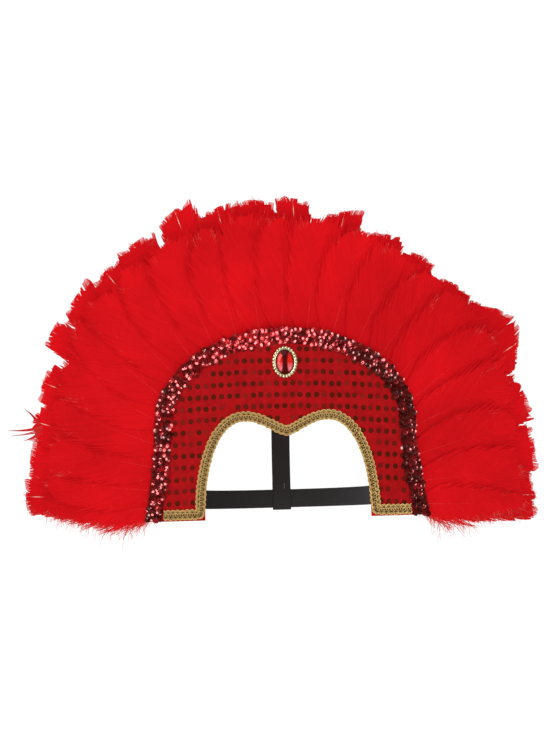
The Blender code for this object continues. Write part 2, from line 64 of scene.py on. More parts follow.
@dataclass(frozen=True)
class Plan:
    """Outlines of the flat panel, and the bow that carries flat points into space."""

    thickness: float = 0.0022
    clearance: float = 0.0003
    foot_half_width: float = 0.1515
    shoulder_half_width: float = 0.138
    shoulder_height: float = 0.100
    crown_rise: float = 0.0985
    flare_curve: float = 1.5
    opening_half_width: float = 0.0874
    arch_x: float = 0.0436
    arch_height: float = 0.1006
    peak_height: float = 0.084
    arch_squareness: float = 2.15
    peak_curve: float = 1.35
    peak_mitre: float = 1.12
    bow_round: float = 0.125
    bow_slope: float = 0.5
    leg_drop: float = 0.0022

    def bow(self, x: np.ndarray) -> np.ndarray:
        """Depth of the bowed panel behind its middle at x: a hyperbola.

        Args:
            x: places across the panel.

        Returns:
            slope times the root of x squared plus round squared, less round.
        """
        return self.bow_slope * (np.sqrt(np.square(x) + self.bow_round**2) - self.bow_round)

    def place(self, x: np.ndarray, height: np.ndarray, depth: np.ndarray) -> np.ndarray:
        """Carries flat points onto the bowed panel.

        Args:
            x: places across.
            height: heights above the feet.
            depth: depths behind the back face of the panel.

        Returns:
            Points in space, with the depth added to the bow at x.
        """
        x, height, depth = np.broadcast_arrays(x, height, depth)
        return np.stack([x, self.bow(x) + depth, height - self.peak_height], axis=-1)

    def panel(self, x: np.ndarray, height: np.ndarray, depth: np.ndarray) -> np.ndarray:
        """Carries flat points of the panel and what is sewn to it into space.

        Args:
            x: places across.
            height: heights above the feet.
            depth: depths behind the back face of the panel.

        Returns:
            Points as from place, with the soft legs hanging a little: the drop grows as the
            square of the way from the shoulders to the feet.
        """
        share = np.clip(1 - np.asarray(height) / self.shoulder_height, 0, 1)
        return self.place(x, height - self.leg_drop * share**2, depth)

    def axes(self, x: np.ndarray) -> np.ndarray:
        """Directions of the bowed panel at x.

        Args:
            x: places across the panel.

        Returns:
            One 3 by 3 matrix for each place, whose rows point right, up and out of the front.
        """
        lean = self.bow_slope * x / np.sqrt(np.square(x) + self.bow_round**2)
        long = np.sqrt(1 + np.square(lean))
        zero = np.zeros_like(x)
        right = np.stack([1 / long, lean / long, zero], axis=-1)
        front = np.stack([lean / long, -1 / long, zero], axis=-1)
        up = np.broadcast_to(UP, right.shape)
        return np.stack([right, up, front], axis=-2)

    def half_width(self, height: np.ndarray) -> np.ndarray:
        """Half width of the panel below its shoulders, where the legs flare outwards."""
        flare = self.foot_half_width - self.shoulder_half_width
        share = np.clip(1 - height / self.shoulder_height, 0, 1)
        return self.shoulder_half_width + flare * share**self.flare_curve

    def outer_edge(self, inset: float = 0.0) -> np.ndarray:
        """Outer outline from the left foot to the right one: flared legs under half an ellipse.

        Args:
            inset: how far the outline is moved inwards.

        Returns:
            Points as (x, height).
        """
        height = np.linspace(0.0, self.shoulder_height, 50, endpoint=False)
        leg = np.column_stack([self.half_width(height) - inset, height])
        halves = (self.shoulder_half_width - inset, self.crown_rise - inset)
        crown = circle(halves, np.linspace(0.0, math.pi / 2, 80)) + (0.0, self.shoulder_height)
        crown[-1, 0] = 0.0
        return mirrored(np.concatenate([leg, crown]))

    def arch_half(self, inset: float = 0.0) -> np.ndarray:
        """Right half of the opening's edge, from the foot over the arch down to the peak.

        Args:
            inset: how far the edge is moved into the panel.

        Returns:
            Points as (x, height): a quarter of a superellipse, then a power of a sine.
        """
        turn = np.linspace(0.0, math.pi / 2, 80)
        power = 2 / self.arch_squareness
        top = self.arch_height + inset
        wide = self.opening_half_width + inset - self.arch_x
        arch_x = self.arch_x + wide * np.abs(np.cos(turn)) ** power
        arch = np.column_stack([arch_x, top * np.sin(turn) ** power])
        x = np.linspace(self.arch_x, 0.0, 40)[1:]
        tip = self.peak_height + self.peak_mitre * inset
        rise = np.sin(math.pi / 2 * x / self.arch_x) ** self.peak_curve
        return np.concatenate([arch, np.column_stack([x, tip + (top - tip) * rise])])


def mirrored(half: np.ndarray) -> np.ndarray:
    """Whole outline, left to right, from its right half that runs from foot to middle."""
    return np.concatenate([half * (-1.0, 1.0), half[-2::-1]])


def walked(line: np.ndarray) -> np.ndarray:
    """Length walked along a polyline at each of its points."""
    steps = np.linalg.norm(np.diff(line, axis=0), axis=1)
    return np.concatenate([[0.0], np.cumsum(steps)])


def along(line: np.ndarray, places: np.ndarray) -> np.ndarray:
    """Points of a polyline at given lengths from its start.

    Args:
        line: points of the polyline, in two or three dimensions.
        places: lengths from the start.

    Returns:
        One point for each length.
    """
    run = walked(line)
    return np.stack([np.interp(places, run, line[:, k]) for k in range(line.shape[1])], axis=-1)


def unit(vectors: np.ndarray) -> np.ndarray:
    """Vectors brought to length one along the last axis."""
    size = np.linalg.norm(vectors, axis=-1, keepdims=True)
    return vectors / np.maximum(size, 1e-12)


def inside(points: np.ndarray, outline: np.ndarray) -> np.ndarray:
    """Which points lie inside a closed outline, by how often a level ray crosses it.

    Args:
        points: (n, 2) points.
        outline: (m, 2) corners.

    Returns:
        One truth value for each point.
    """
    a = outline
    b = np.roll(outline, -1, axis=0)
    x, y = points[:, 0, None], points[:, 1, None]
    spans = (a[:, 1] > y) != (b[:, 1] > y)
    fall = np.where(b[:, 1] == a[:, 1], 1e-12, b[:, 1] - a[:, 1])
    cross = a[:, 0] + (y - a[:, 1]) / fall * (b[:, 0] - a[:, 0])
    return (np.sum(spans & (x < cross), axis=1) % 2).astype(bool)


# Surfaces


@dataclass
class Surface:
    """Points and faces of a piece under construction, with values at its points."""

    points: np.ndarray
    quads: np.ndarray = field(default_factory=lambda: np.zeros((0, 4), int))
    tris: np.ndarray = field(default_factory=lambda: np.zeros((0, 3), int))
    tone: np.ndarray | None = None
    uv: np.ndarray | None = None

    def filled(self) -> "Surface":
        """The same surface with plain values where it has none."""
        count = len(self.points)
        tone = np.full(count, 0.5) if self.tone is None else self.tone
        uv = np.zeros((count, 2)) if self.uv is None else self.uv
        return Surface(self.points, self.quads, self.tris, tone, uv)


def joined(parts: list[Surface]) -> Surface:
    """One surface from several, with their faces renumbered."""
    parts = [part.filled() for part in parts]
    starts = np.cumsum([0] + [len(part.points) for part in parts[:-1]])
    return Surface(
        np.concatenate([part.points for part in parts]),
        np.concatenate([part.quads + start for part, start in zip(parts, starts)]),
        np.concatenate([part.tris + start for part, start in zip(parts, starts)]),
        np.concatenate([part.tone for part in parts]),
        np.concatenate([part.uv for part in parts]),
    )


def grid_quads(rows: int, columns: int, ring: bool = False, loop: bool = False) -> np.ndarray:
    """Quads between the points of a grid that is numbered row by row.

    Args:
        rows: number of rows.
        columns: number of points in a row.
        ring: True joins the last column to the first.
        loop: True joins the last row to the first.

    Returns:
        (n, 4) numbers of points.
    """
    i, j = np.meshgrid(
        np.arange(rows if loop else rows - 1),
        np.arange(columns if ring else columns - 1),
        indexing="ij",
    )
    below, right = (i + 1) % rows, (j + 1) % columns
    corners = [i * columns + j, below * columns + j, below * columns + right, i * columns + right]
    return np.stack(corners, axis=-1).reshape(-1, 4)


def bell(x: np.ndarray, middle: float, spread: float) -> np.ndarray:
    """Bell curve of height one round a middle."""
    return np.exp(-(((x - middle) / spread) ** 2))


def fan(middle: int, rim: np.ndarray, flip: bool = False) -> np.ndarray:
    """Triangles from a middle point to each pair of neighbours on a closed rim."""
    after = np.roll(rim, -1)
    if flip:
        rim, after = after, rim
    return np.stack([np.full(len(rim), middle), rim, after], axis=-1)


def circle(radii: tuple[float, float] | np.ndarray, turn: np.ndarray) -> np.ndarray:
    """Points of an oval of the given half widths at given turns from its first axis."""
    return np.column_stack([radii[0] * np.cos(turn), radii[1] * np.sin(turn)])


def superellipse(turn: np.ndarray, wide: float, tall: float, power: float) -> np.ndarray:
    """Points of an oval whose cosine and sine are raised to a power, with their signs kept."""
    c, s = np.cos(turn), np.sin(turn)
    x = wide * np.sign(c) * np.abs(c) ** power
    return np.column_stack([x, tall * np.sign(s) * np.abs(s) ** power])


def whole_turn(count: int) -> np.ndarray:
    """Even angles all the way round, without the last one."""
    return np.linspace(0.0, 2 * math.pi, count, endpoint=False)


def sweep(path: np.ndarray, out: np.ndarray, across: np.ndarray, profile: np.ndarray) -> Surface:
    """Closed solid: a closed profile carried along a path, with fans over its two ends.

    Args:
        path: (n, 3) points.
        out: (n, 3) directions of the profile's first axis.
        across: (n, 3) directions of the profile's second axis.
        profile: (m, 2) or (n, m, 2) points of the profile.

    Returns:
        The solid, with uv as (length along the path, length round the profile).
    """
    count = len(path)
    profile = np.broadcast_to(profile, (count, *profile.shape[-2:]))
    sides = profile.shape[1]
    rings = path[:, None] + profile[..., :1] * out[:, None] + profile[..., 1:] * across[:, None]
    run = np.broadcast_to(walked(path)[:, None], (count, sides))
    round_ = np.broadcast_to(walked(profile[count // 2])[None], (count, sides))
    uv = np.stack([run, round_], axis=-1).reshape(-1, 2)
    points = np.concatenate([rings.reshape(-1, 3), rings.mean(axis=1)[[0, -1]]])
    uv = np.concatenate([uv, uv[:1], uv[-1:]])
    size = count * sides
    tris = [fan(size, np.arange(sides)), fan(size + 1, np.arange(size - sides, size), flip=True)]
    return Surface(points, grid_quads(count, sides, ring=True), np.concatenate(tris), uv=uv)


def tube(path: np.ndarray, radius: np.ndarray | float, sides: int, out: np.ndarray) -> Surface:
    """Round closed tube along a path.

    Args:
        path: (n, 3) points.
        radius: radius at each point, or one for all.
        sides: number of sides.
        out: (n, 3) directions that are never along the path.

    Returns:
        The tube, as a circle of the given radius carried along the path.
    """
    ahead = unit(np.gradient(path, axis=0))
    across = unit(np.cross(ahead, out))
    rise = np.cross(across, ahead)
    size = np.broadcast_to(radius, len(path))[:, None, None]
    return sweep(path, rise, across, size * circle((1.0, 1.0), whole_turn(sides)))


def flat_strip(plan: Plan, line: np.ndarray, lift: float, profile: np.ndarray) -> Surface:
    """Strip that lies on the front of the panel.

    Args:
        plan: the panel's plan.
        line: (n, 2) points of its middle as (x, height).
        lift: height of its middle over the panel.
        profile: (m, 2) points of its section as (across, out).

    Returns:
        The section carried along the line.
    """
    path = plan.panel(line[:, 0], line[:, 1], -plan.thickness - lift)
    front = plan.axes(line[:, 0])[:, 2]
    across = unit(np.cross(unit(np.gradient(path, axis=0)), front))
    return sweep(path, front, across, profile[:, ::-1])


def ribbons(left: np.ndarray, right: np.ndarray, tone: np.ndarray) -> Surface:
    """Thin ribbons, each a row of quads between its two edges.

    Args:
        left: (b, s, 3) points on one edge.
        right: (b, s, 3) points on the other.
        tone: (b, s) values.

    Returns:
        All the ribbons as one surface.
    """
    many, steps = left.shape[:2]
    points = np.stack([left, right], axis=2).reshape(-1, 3)
    quads = grid_quads(steps, 2)[None] + (np.arange(many) * steps * 2)[:, None, None]
    return Surface(points, quads.reshape(-1, 4), tone=np.repeat(tone.reshape(-1), 2))


def copies(pattern: Surface, axes: np.ndarray, places: np.ndarray, tone: np.ndarray) -> Surface:
    """Repeats a small surface at many places.

    Args:
        pattern: the surface, about its own origin.
        axes: (n, 3, 3) matrices whose rows are the copy's three directions.
        places: (n, 3) places.
        tone: one value for each copy.

    Returns:
        All the copies as one surface.
    """
    many, size = len(places), len(pattern.points)
    points = np.einsum("pk,nkj->npj", pattern.points, axes) + places[:, None]
    shift = (np.arange(many) * size)[:, None, None]
    uv = None if pattern.uv is None else np.tile(pattern.uv, (many, 1))
    return Surface(
        points.reshape(-1, 3),
        (pattern.quads[None] + shift).reshape(-1, 4),
        (pattern.tris[None] + shift).reshape(-1, 3),
        np.repeat(tone, size),
        uv,
    )


def tilted(axes: np.ndarray, lean: np.ndarray, spin: np.ndarray) -> np.ndarray:
    """Turns sets of three directions: a spin in their own plane, then a lean out of it.

    Args:
        axes: (n, 3, 3) rows of right, up and front.
        lean: (n, 2) angles towards right and up.
        spin: (n,) angles round the front.

    Returns:
        Turned and squared sets of three directions.
    """
    right, up, front = axes[:, 0], axes[:, 1], axes[:, 2]
    facing = unit(front + np.tan(lean[:, :1]) * right + np.tan(lean[:, 1:]) * up)
    c, s = np.cos(spin)[:, None], np.sin(spin)[:, None]
    first = c * right + s * up
    first = unit(first - np.sum(first * facing, axis=1, keepdims=True) * facing)
    return np.stack([first, np.cross(facing, first), facing], axis=1)


def revolved(radii: np.ndarray, rises: np.ndarray, sides: int) -> Surface:
    """Ring-shaped solid of revolution: a closed profile turned round the third axis.

    Args:
        radii: radius of each profile point.
        rises: height of each profile point.
        sides: number of sides.

    Returns:
        The solid, as radius times the cosine and sine of the turn, and the height.
    """
    turn = whole_turn(sides)[:, None]
    rises = np.broadcast_to(rises, (sides, len(rises)))
    points = np.stack([radii * np.cos(turn), radii * np.sin(turn), rises], axis=-1)
    return Surface(points.reshape(-1, 3), grid_quads(sides, len(radii), ring=True, loop=True))


# Finishes


class Bench:
    """Node tree under construction."""

    def __init__(self, tree: bpy.types.NodeTree) -> None:
        """Takes the tree that the nodes go in, and its Principled shader if it has one."""
        self.tree = tree
        self.shader = tree.nodes.get("Principled BSDF")

    def link(self, source: bpy.types.NodeSocket, target: bpy.types.NodeSocket) -> None:
        """Feeds one socket from another."""
        self.tree.links.new(source, target)

    def add(self, kind: str, inputs: dict | None = None, **settings: object) -> bpy.types.Node:
        """Adds one node.

        Args:
            kind: Blender's name of the node.
            inputs: for each input, a value or the socket that feeds it.
            **settings: other settings of the node.

        Returns:
            The node.
        """
        node = self.tree.nodes.new(kind)
        for key, value in settings.items():
            setattr(node, key, value)
        for key, value in (inputs or {}).items():
            if isinstance(value, bpy.types.NodeSocket):
                self.link(value, node.inputs[key])
            else:
                node.inputs[key].default_value = value
        return node

    def math(self, operation: str, *values: object) -> bpy.types.NodeSocket:
        """Output of a Math node on one to three values or sockets."""
        node = self.add("ShaderNodeMath", dict(enumerate(values)), operation=operation)
        return node.outputs[0]

    def blend(self, share: object, first: object, second: object) -> bpy.types.NodeSocket:
        """Colour between two others, by a share from 0 to 1."""
        inputs = {0: share, 6: first, 7: second}
        return self.add("ShaderNodeMix", inputs, data_type="RGBA").outputs[2]

    def value(self, name: str) -> bpy.types.NodeSocket:
        """Value of a named attribute at each point."""
        return self.add("ShaderNodeAttribute", attribute_name=name).outputs["Fac"]

    def group(self, tree: bpy.types.NodeTree, inputs: dict) -> bpy.types.Node:
        """Places a shared effect with its own values."""
        return self.add("ShaderNodeGroup", inputs, node_tree=tree)

    def ramp(self, value: object, first: float, last: float) -> bpy.types.NodeSocket:
        """Share from 0 where a value is at first to 1 where it is at last."""
        return self.add("ShaderNodeMapRange", {0: value, 1: first, 2: last}).outputs[0]

    def drift(self, place: bpy.types.Node, scale: float, amount: float) -> bpy.types.NodeSocket:
        """Drift of the dye, or of painted shade and glints, over the object, from its Texture
        Coordinate node.
        """
        inputs = {"Vector": place.outputs["Object"], "Scale": scale, "Amount": amount}
        return self.group(drift_effect(), inputs).outputs["Drift"]


def new_finish(name: str, levels: dict[str, object]) -> tuple[bpy.types.Material, Bench]:
    """Starts a material with one Principled shader.

    Args:
        name: the material's name.
        levels: values of the shader's own sockets.

    Returns:
        The material, and a bench on its nodes.
    """
    material = bpy.data.materials.new(name)
    material.use_nodes = True
    bench = Bench(material.node_tree)
    for socket, level in levels.items():
        bench.shader.inputs[socket].default_value = level
    return material, bench


def new_effect(name: str, inputs: dict[str, tuple[str, object]], output: str) -> Bench:
    """Starts a shared effect as a node group.

    Args:
        name: the effect's name.
        inputs: for each input, its socket type and first value.
        output: name of the value that it puts out.

    Returns:
        A bench on the group's tree.
    """
    tree = bpy.data.node_groups.new(name, "ShaderNodeTree")
    for label, (kind, value) in inputs.items():
        socket = tree.interface.new_socket(name=label, in_out="INPUT", socket_type=kind)
        if value is not None:
            socket.default_value = value
    tree.interface.new_socket(name=output, in_out="OUTPUT", socket_type="NodeSocketFloat")
    return Bench(tree)


def weave_effect() -> bpy.types.NodeTree:
    """Plain weave: where both thread waves are high the cloth stands up.

    Returns:
        A group that puts out Height, the sum of one sine across and one along, with the second
        shifted by half a thread in every other row.
    """
    if "plain_weave" in bpy.data.node_groups:
        return bpy.data.node_groups["plain_weave"]
    sockets = {
        "Vector": ("NodeSocketVector", None),
        "Across": ("NodeSocketFloat", 1000.0),
        "Along": ("NodeSocketFloat", 1000.0),
    }
    bench = new_effect("plain_weave", sockets, "Height")
    start = bench.add("NodeGroupInput")
    split = bench.add("ShaderNodeSeparateXYZ", {0: start.outputs["Vector"]})
    u = bench.math("MULTIPLY", split.outputs[0], start.outputs["Along"])
    v = bench.math("MULTIPLY", split.outputs[1], start.outputs["Across"])
    row = bench.math("FLOOR", bench.math("DIVIDE", v, 2 * math.pi))
    shifted = bench.math("MULTIPLY_ADD", row, math.pi, u)
    waves = bench.math("ADD", bench.math("SINE", shifted), bench.math("COSINE", v))
    height = bench.math("MULTIPLY_ADD", waves, 0.25, 0.5)
    bench.add("NodeGroupOutput", {"Height": height})
    return bench.tree


def drift_effect() -> bpy.types.NodeTree:
    """Slow uneven drift of dye or plating over a surface. On the feathers it paints soft patches of
    shade, and on the stone patches of glint.

    Returns:
        A group that puts out Drift, a soft noise about 0.5 whose swing is Amount.
    """
    if "dye_drift" in bpy.data.node_groups:
        return bpy.data.node_groups["dye_drift"]
    sockets = {
        "Vector": ("NodeSocketVector", None),
        "Scale": ("NodeSocketFloat", 20.0),
        "Amount": ("NodeSocketFloat", 0.3),
    }
    bench = new_effect("dye_drift", sockets, "Drift")
    start = bench.add("NodeGroupInput")
    noise = bench.add(
        "ShaderNodeTexNoise",
        {"Vector": start.outputs["Vector"], "Scale": start.outputs["Scale"], "Detail": 3.0},
    )
    swing = bench.math("MULTIPLY", bench.math("SUBTRACT", noise.outputs[0], 0.5), 2.0)
    drift = bench.math("MULTIPLY_ADD", swing, start.outputs["Amount"], 0.5)
    bench.add("NodeGroupOutput", {"Drift": drift})
    return bench.tree


Colour = tuple[float, float, float]
PAINTED_GAP_SHADE = 0.45


@dataclass(frozen=True)
class Finish:
    """A finish between two colours, with a drift of dye or plating over it; on the feathers the
    drift is painted shade.
    """

    name: str
    low: Colour
    high: Colour
    roughness: float
    metallic: float = 0.0
    specular: float = 0.5
    coat: float = 0.0
    drift_scale: float = 20.0
    drift: float = 0.3
    weave_across: float = 0.0
    weave_along: float = 0.0
    weave_depth: float = 0.0
    twist: float = 0.0

    def material(self) -> bpy.types.Material:
        """Builds the material, once.

        Returns:
            Principled finish whose colour follows the tone attribute plus the drift, with painted
            shade in the low gaps of the weave or the twist of a thread, and whose bump follows that
            weave or twist.
        """
        if self.name in bpy.data.materials:
            return bpy.data.materials[self.name]
        levels = {
            "Roughness": self.roughness,
            "Metallic": self.metallic,
            "Specular IOR Level": self.specular,
            "Coat Weight": self.coat,
            "Coat Roughness": 0.1,
        }
        material, bench = new_finish(self.name, levels)
        place = bench.add("ShaderNodeTexCoord")
        tone = bench.math("SUBTRACT", bench.value("tone"), 0.5)
        share = bench.math("ADD", tone, bench.drift(place, self.drift_scale, self.drift))
        share = bench.math("MINIMUM", bench.math("MAXIMUM", share, 0.0), 1.0)
        colour = bench.blend(share, (*self.low, 1.0), (*self.high, 1.0))
        height = self.relief(bench, place)
        if height is not None:
            # Painted shade: the colour darkens towards a shaded low colour in the low gaps of the
            # weave or twist.
            deep = bench.math("MULTIPLY", bench.math("SUBTRACT", 1.0, height), PAINTED_GAP_SHADE)
            colour = bench.blend(deep, colour, (*[c * PAINTED_GAP_SHADE for c in self.low], 1.0))
            inputs = {"Strength": 0.7, "Distance": self.weave_depth, "Height": height}
            bump = bench.add("ShaderNodeBump", inputs)
            bench.link(bump.outputs[0], bench.shader.inputs["Normal"])
        bench.link(colour, bench.shader.inputs["Base Color"])
        return material

    def relief(self, bench: Bench, place: bpy.types.Node) -> bpy.types.NodeSocket | None:
        """Height of the weave, or of the turns of a wound thread, from the piece's uv.

        Args:
            bench: the material's nodes.
            place: its Texture Coordinate node.

        Returns:
            The height's socket, or None for a smooth finish.
        """
        if self.twist:
            split = bench.add("ShaderNodeSeparateXYZ", {0: place.outputs["UV"]})
            turns = bench.math("MULTIPLY", split.outputs[0], 2 * math.pi / self.twist)
            return bench.math("MULTIPLY_ADD", bench.math("SINE", turns), 0.5, 0.5)
        if self.weave_across:
            inputs = {
                "Vector": place.outputs["UV"],
                "Across": 2 * math.pi / self.weave_across,
                "Along": 2 * math.pi / self.weave_along,
            }
            return bench.group(weave_effect(), inputs).outputs["Height"]
        return None


# The feathers' drift paints soft darker patches: painted shade, as where barbs turn from the light,
# placed at random.
FEATHER = Finish(
    "dyed_feather", (0.42, 0.004, 0.006), (0.79, 0.005, 0.010), roughness=0.9, specular=0.05,
    drift_scale=13.0, drift=0.5,
)
RACHIS = Finish(
    "dyed_quill", (0.67, 0.018, 0.019), (0.94, 0.56, 0.44), roughness=0.6, specular=0.15, drift=0.1
)
DOWN = Finish("loose_down", (0.60, 0.008, 0.012), (0.88, 0.22, 0.17), roughness=0.9, specular=0.1)
FABRIC = Finish(
    "red_knit", (0.30, 0.004, 0.005), (0.52, 0.006, 0.009), roughness=0.85, specular=0.08,
    drift_scale=160.0, drift=0.8, weave_across=0.0007, weave_along=0.0007, weave_depth=0.00012,
)
SEQUIN = Finish(
    "flat_sequin", (0.072, 0.009, 0.004), (0.36, 0.012, 0.012), roughness=0.5, specular=0.01,
    drift_scale=40.0,
)
CUP = Finish(
    "cup_sequin", (0.11, 0.006, 0.004), (0.80, 0.022, 0.030), roughness=0.16, metallic=0.62,
    coat=1.0, drift_scale=70.0,
)
NET = Finish(
    "trim_net", (0.045, 0.006, 0.004), (0.16, 0.008, 0.008), roughness=0.9, specular=0.1,
    drift_scale=300.0, weave_across=0.0009, weave_along=0.0009, weave_depth=0.0001,
)
GIMP = Finish(
    "gold_gimp", (0.105, 0.045, 0.006), (1.0, 0.68, 0.25), roughness=0.3, metallic=0.3,
    specular=0.25, drift_scale=220.0, drift=0.2, weave_depth=0.00018, twist=0.0005,
)
PLATE = Finish(
    "plated_bead", (0.70, 0.60, 0.30), (0.95, 0.88, 0.60), roughness=0.25, metallic=0.6,
    drift_scale=400.0,
)
ELASTIC = Finish(
    "black_elastic", (0.006, 0.005, 0.004), (0.018, 0.015, 0.012), roughness=0.95, specular=0.06,
    weave_across=0.0013, weave_along=0.0008, weave_depth=0.0002,
)
THREAD = Finish(
    "stitching", (0.02, 0.02, 0.02), (0.42, 0.40, 0.38), roughness=0.7, twist=0.0004,
    weave_depth=0.0001,
)


@dataclass(frozen=True)
class CutStone:
    """Clear red stone on foil, its light painted on: a painted dark reflection through its table,
    painted reflections on its sides, painted shade round its rim and a painted glint towards its
    foot.
    """

    name: str = "red_acrylic"
    # deep is the table's painted dark reflection, bright the painted reflection on the sides, and
    # pale a painted glint towards the foot.
    deep: Colour = (0.070, 0.004, 0.003)
    bright: Colour = (0.82, 0.020, 0.012)
    pale: Colour = (0.92, 0.30, 0.34)
    waist: float = 0.25
    side_reflection_ramp: tuple[float, float] = (0.18, 0.34)
    rim_shade_ramp: tuple[float, float] = (0.92, 0.78)
    glint_foot_ramp: tuple[float, float] = (0.0, -0.6)
    painted_glint_share: float = 0.8
    facet_glint_drift: tuple[float, float] = (420.0, 0.9)
    facet_glint_gain: tuple[float, float] = (0.7, 0.5)

    def material(self) -> bpy.types.Material:
        """Builds the material.

        Returns:
            Principled finish with its light painted on: a painted dark reflection down the middle,
            painted shade round the rim, painted reflections on the sides that vary in patches as
            facet glints, and a painted pale glint towards the foot of the stone.
        """
        levels = {
            "Roughness": 0.08,
            "Metallic": 0.1,
            "Specular IOR Level": 0.15,
            "Coat Weight": 0.1,
            "Coat Roughness": 0.02,
        }
        material, bench = new_finish(self.name, levels)
        place = bench.add("ShaderNodeTexCoord")
        spot = bench.add("ShaderNodeSeparateXYZ", {0: place.outputs["Object"]})
        tall = bench.math("SUBTRACT", spot.outputs[2], STONE_Z)
        across = bench.math("DIVIDE", spot.outputs[0], STONE_HALF[0])
        rise = bench.math("DIVIDE", tall, STONE_HALF[1])
        rise_squared = bench.math("POWER", rise, 2.0)
        out = bench.math("SQRT", bench.math("ADD", bench.math("POWER", across, 2.0), rise_squared))
        waist = bench.math("MULTIPLY", rise_squared, self.waist)
        aside = bench.math("SUBTRACT", bench.math("ABSOLUTE", across), waist)
        # Painted shade round the rim of the stone, next to the wall of its setting.
        clear_of_rim_shade = bench.ramp(out, *self.rim_shade_ramp)
        side = bench.math("MULTIPLY", bench.ramp(aside, *self.side_reflection_ramp), clear_of_rim_shade)
        # Painted reflections on the sides, brighter and darker in small patches as glints off
        # facets.
        facet_glints = bench.drift(place, *self.facet_glint_drift)
        facet_glints = bench.math("MULTIPLY_ADD", facet_glints, *self.facet_glint_gain)
        side = bench.math("MINIMUM", bench.math("MULTIPLY", side, facet_glints), 1.0)
        colour = bench.blend(side, (*self.deep, 1.0), (*self.bright, 1.0))
        # Painted pale glint on the sides towards the foot of the stone.
        foot = bench.ramp(rise, *self.glint_foot_ramp)
        painted_glint = bench.math("MULTIPLY", bench.math("MULTIPLY", side, foot), self.painted_glint_share)
        colour = bench.blend(painted_glint, colour, (*self.pale, 1.0))
        bench.link(colour, bench.shader.inputs["Base Color"])
        return material


def add_piece(name: str, surface: Surface, finish: Finish,
              replaces: tuple[str, ...] = (), solid: bool = True,
              smooth: bool = True) -> bpy.types.Object:
    """Puts a surface in the scene as a finished piece of the object.

    Args:
        name: name of the piece.
        surface: its points and faces.
        finish: its finish.
        replaces: CAD nodes that it stands for.
        solid: True turns the faces outwards, for closed surfaces.
        smooth: True for smooth shading.

    Returns:
        The piece.
    """
    surface = surface.filled()
    mesh = bpy.data.meshes.new(name)
    corners = np.concatenate([surface.quads.ravel(), surface.tris.ravel()])
    sizes = np.concatenate([np.full(len(surface.quads), 4), np.full(len(surface.tris), 3)])
    mesh.vertices.add(len(surface.points))
    mesh.vertices.foreach_set("co", surface.points.astype(np.float32).ravel())
    mesh.loops.add(len(corners))
    mesh.loops.foreach_set("vertex_index", corners.astype(np.int32))
    mesh.polygons.add(len(sizes))
    starts = np.concatenate([[0], np.cumsum(sizes)[:-1]])
    mesh.polygons.foreach_set("loop_start", starts.astype(np.int32))
    mesh.update(calc_edges=True)
    tone = mesh.attributes.new("tone", "FLOAT", "POINT")
    tone.data.foreach_set("value", surface.tone.astype(np.float32))
    uv = mesh.uv_layers.new(name="UVMap")
    uv.data.foreach_set("uv", surface.uv[corners].astype(np.float32).ravel())
    if solid:
        bm = bmesh.new()
        bm.from_mesh(mesh)
        bmesh.ops.recalc_face_normals(bm, faces=bm.faces)
        bm.to_mesh(mesh)
        bm.free()
    if smooth:
        mesh.shade_smooth()
        mesh.set_sharp_from_angle(angle=math.radians(40))
    else:
        mesh.shade_flat()
    mesh.materials.append(finish.material())
    piece = bpy.data.objects.new(name, mesh)
    bpy.context.scene.collection.objects.link(piece)
    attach(piece, BODY)
    if replaces:
        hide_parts(*replaces)
    LOG.info("%s: %d faces", name, len(mesh.polygons))
    return piece


# Panel


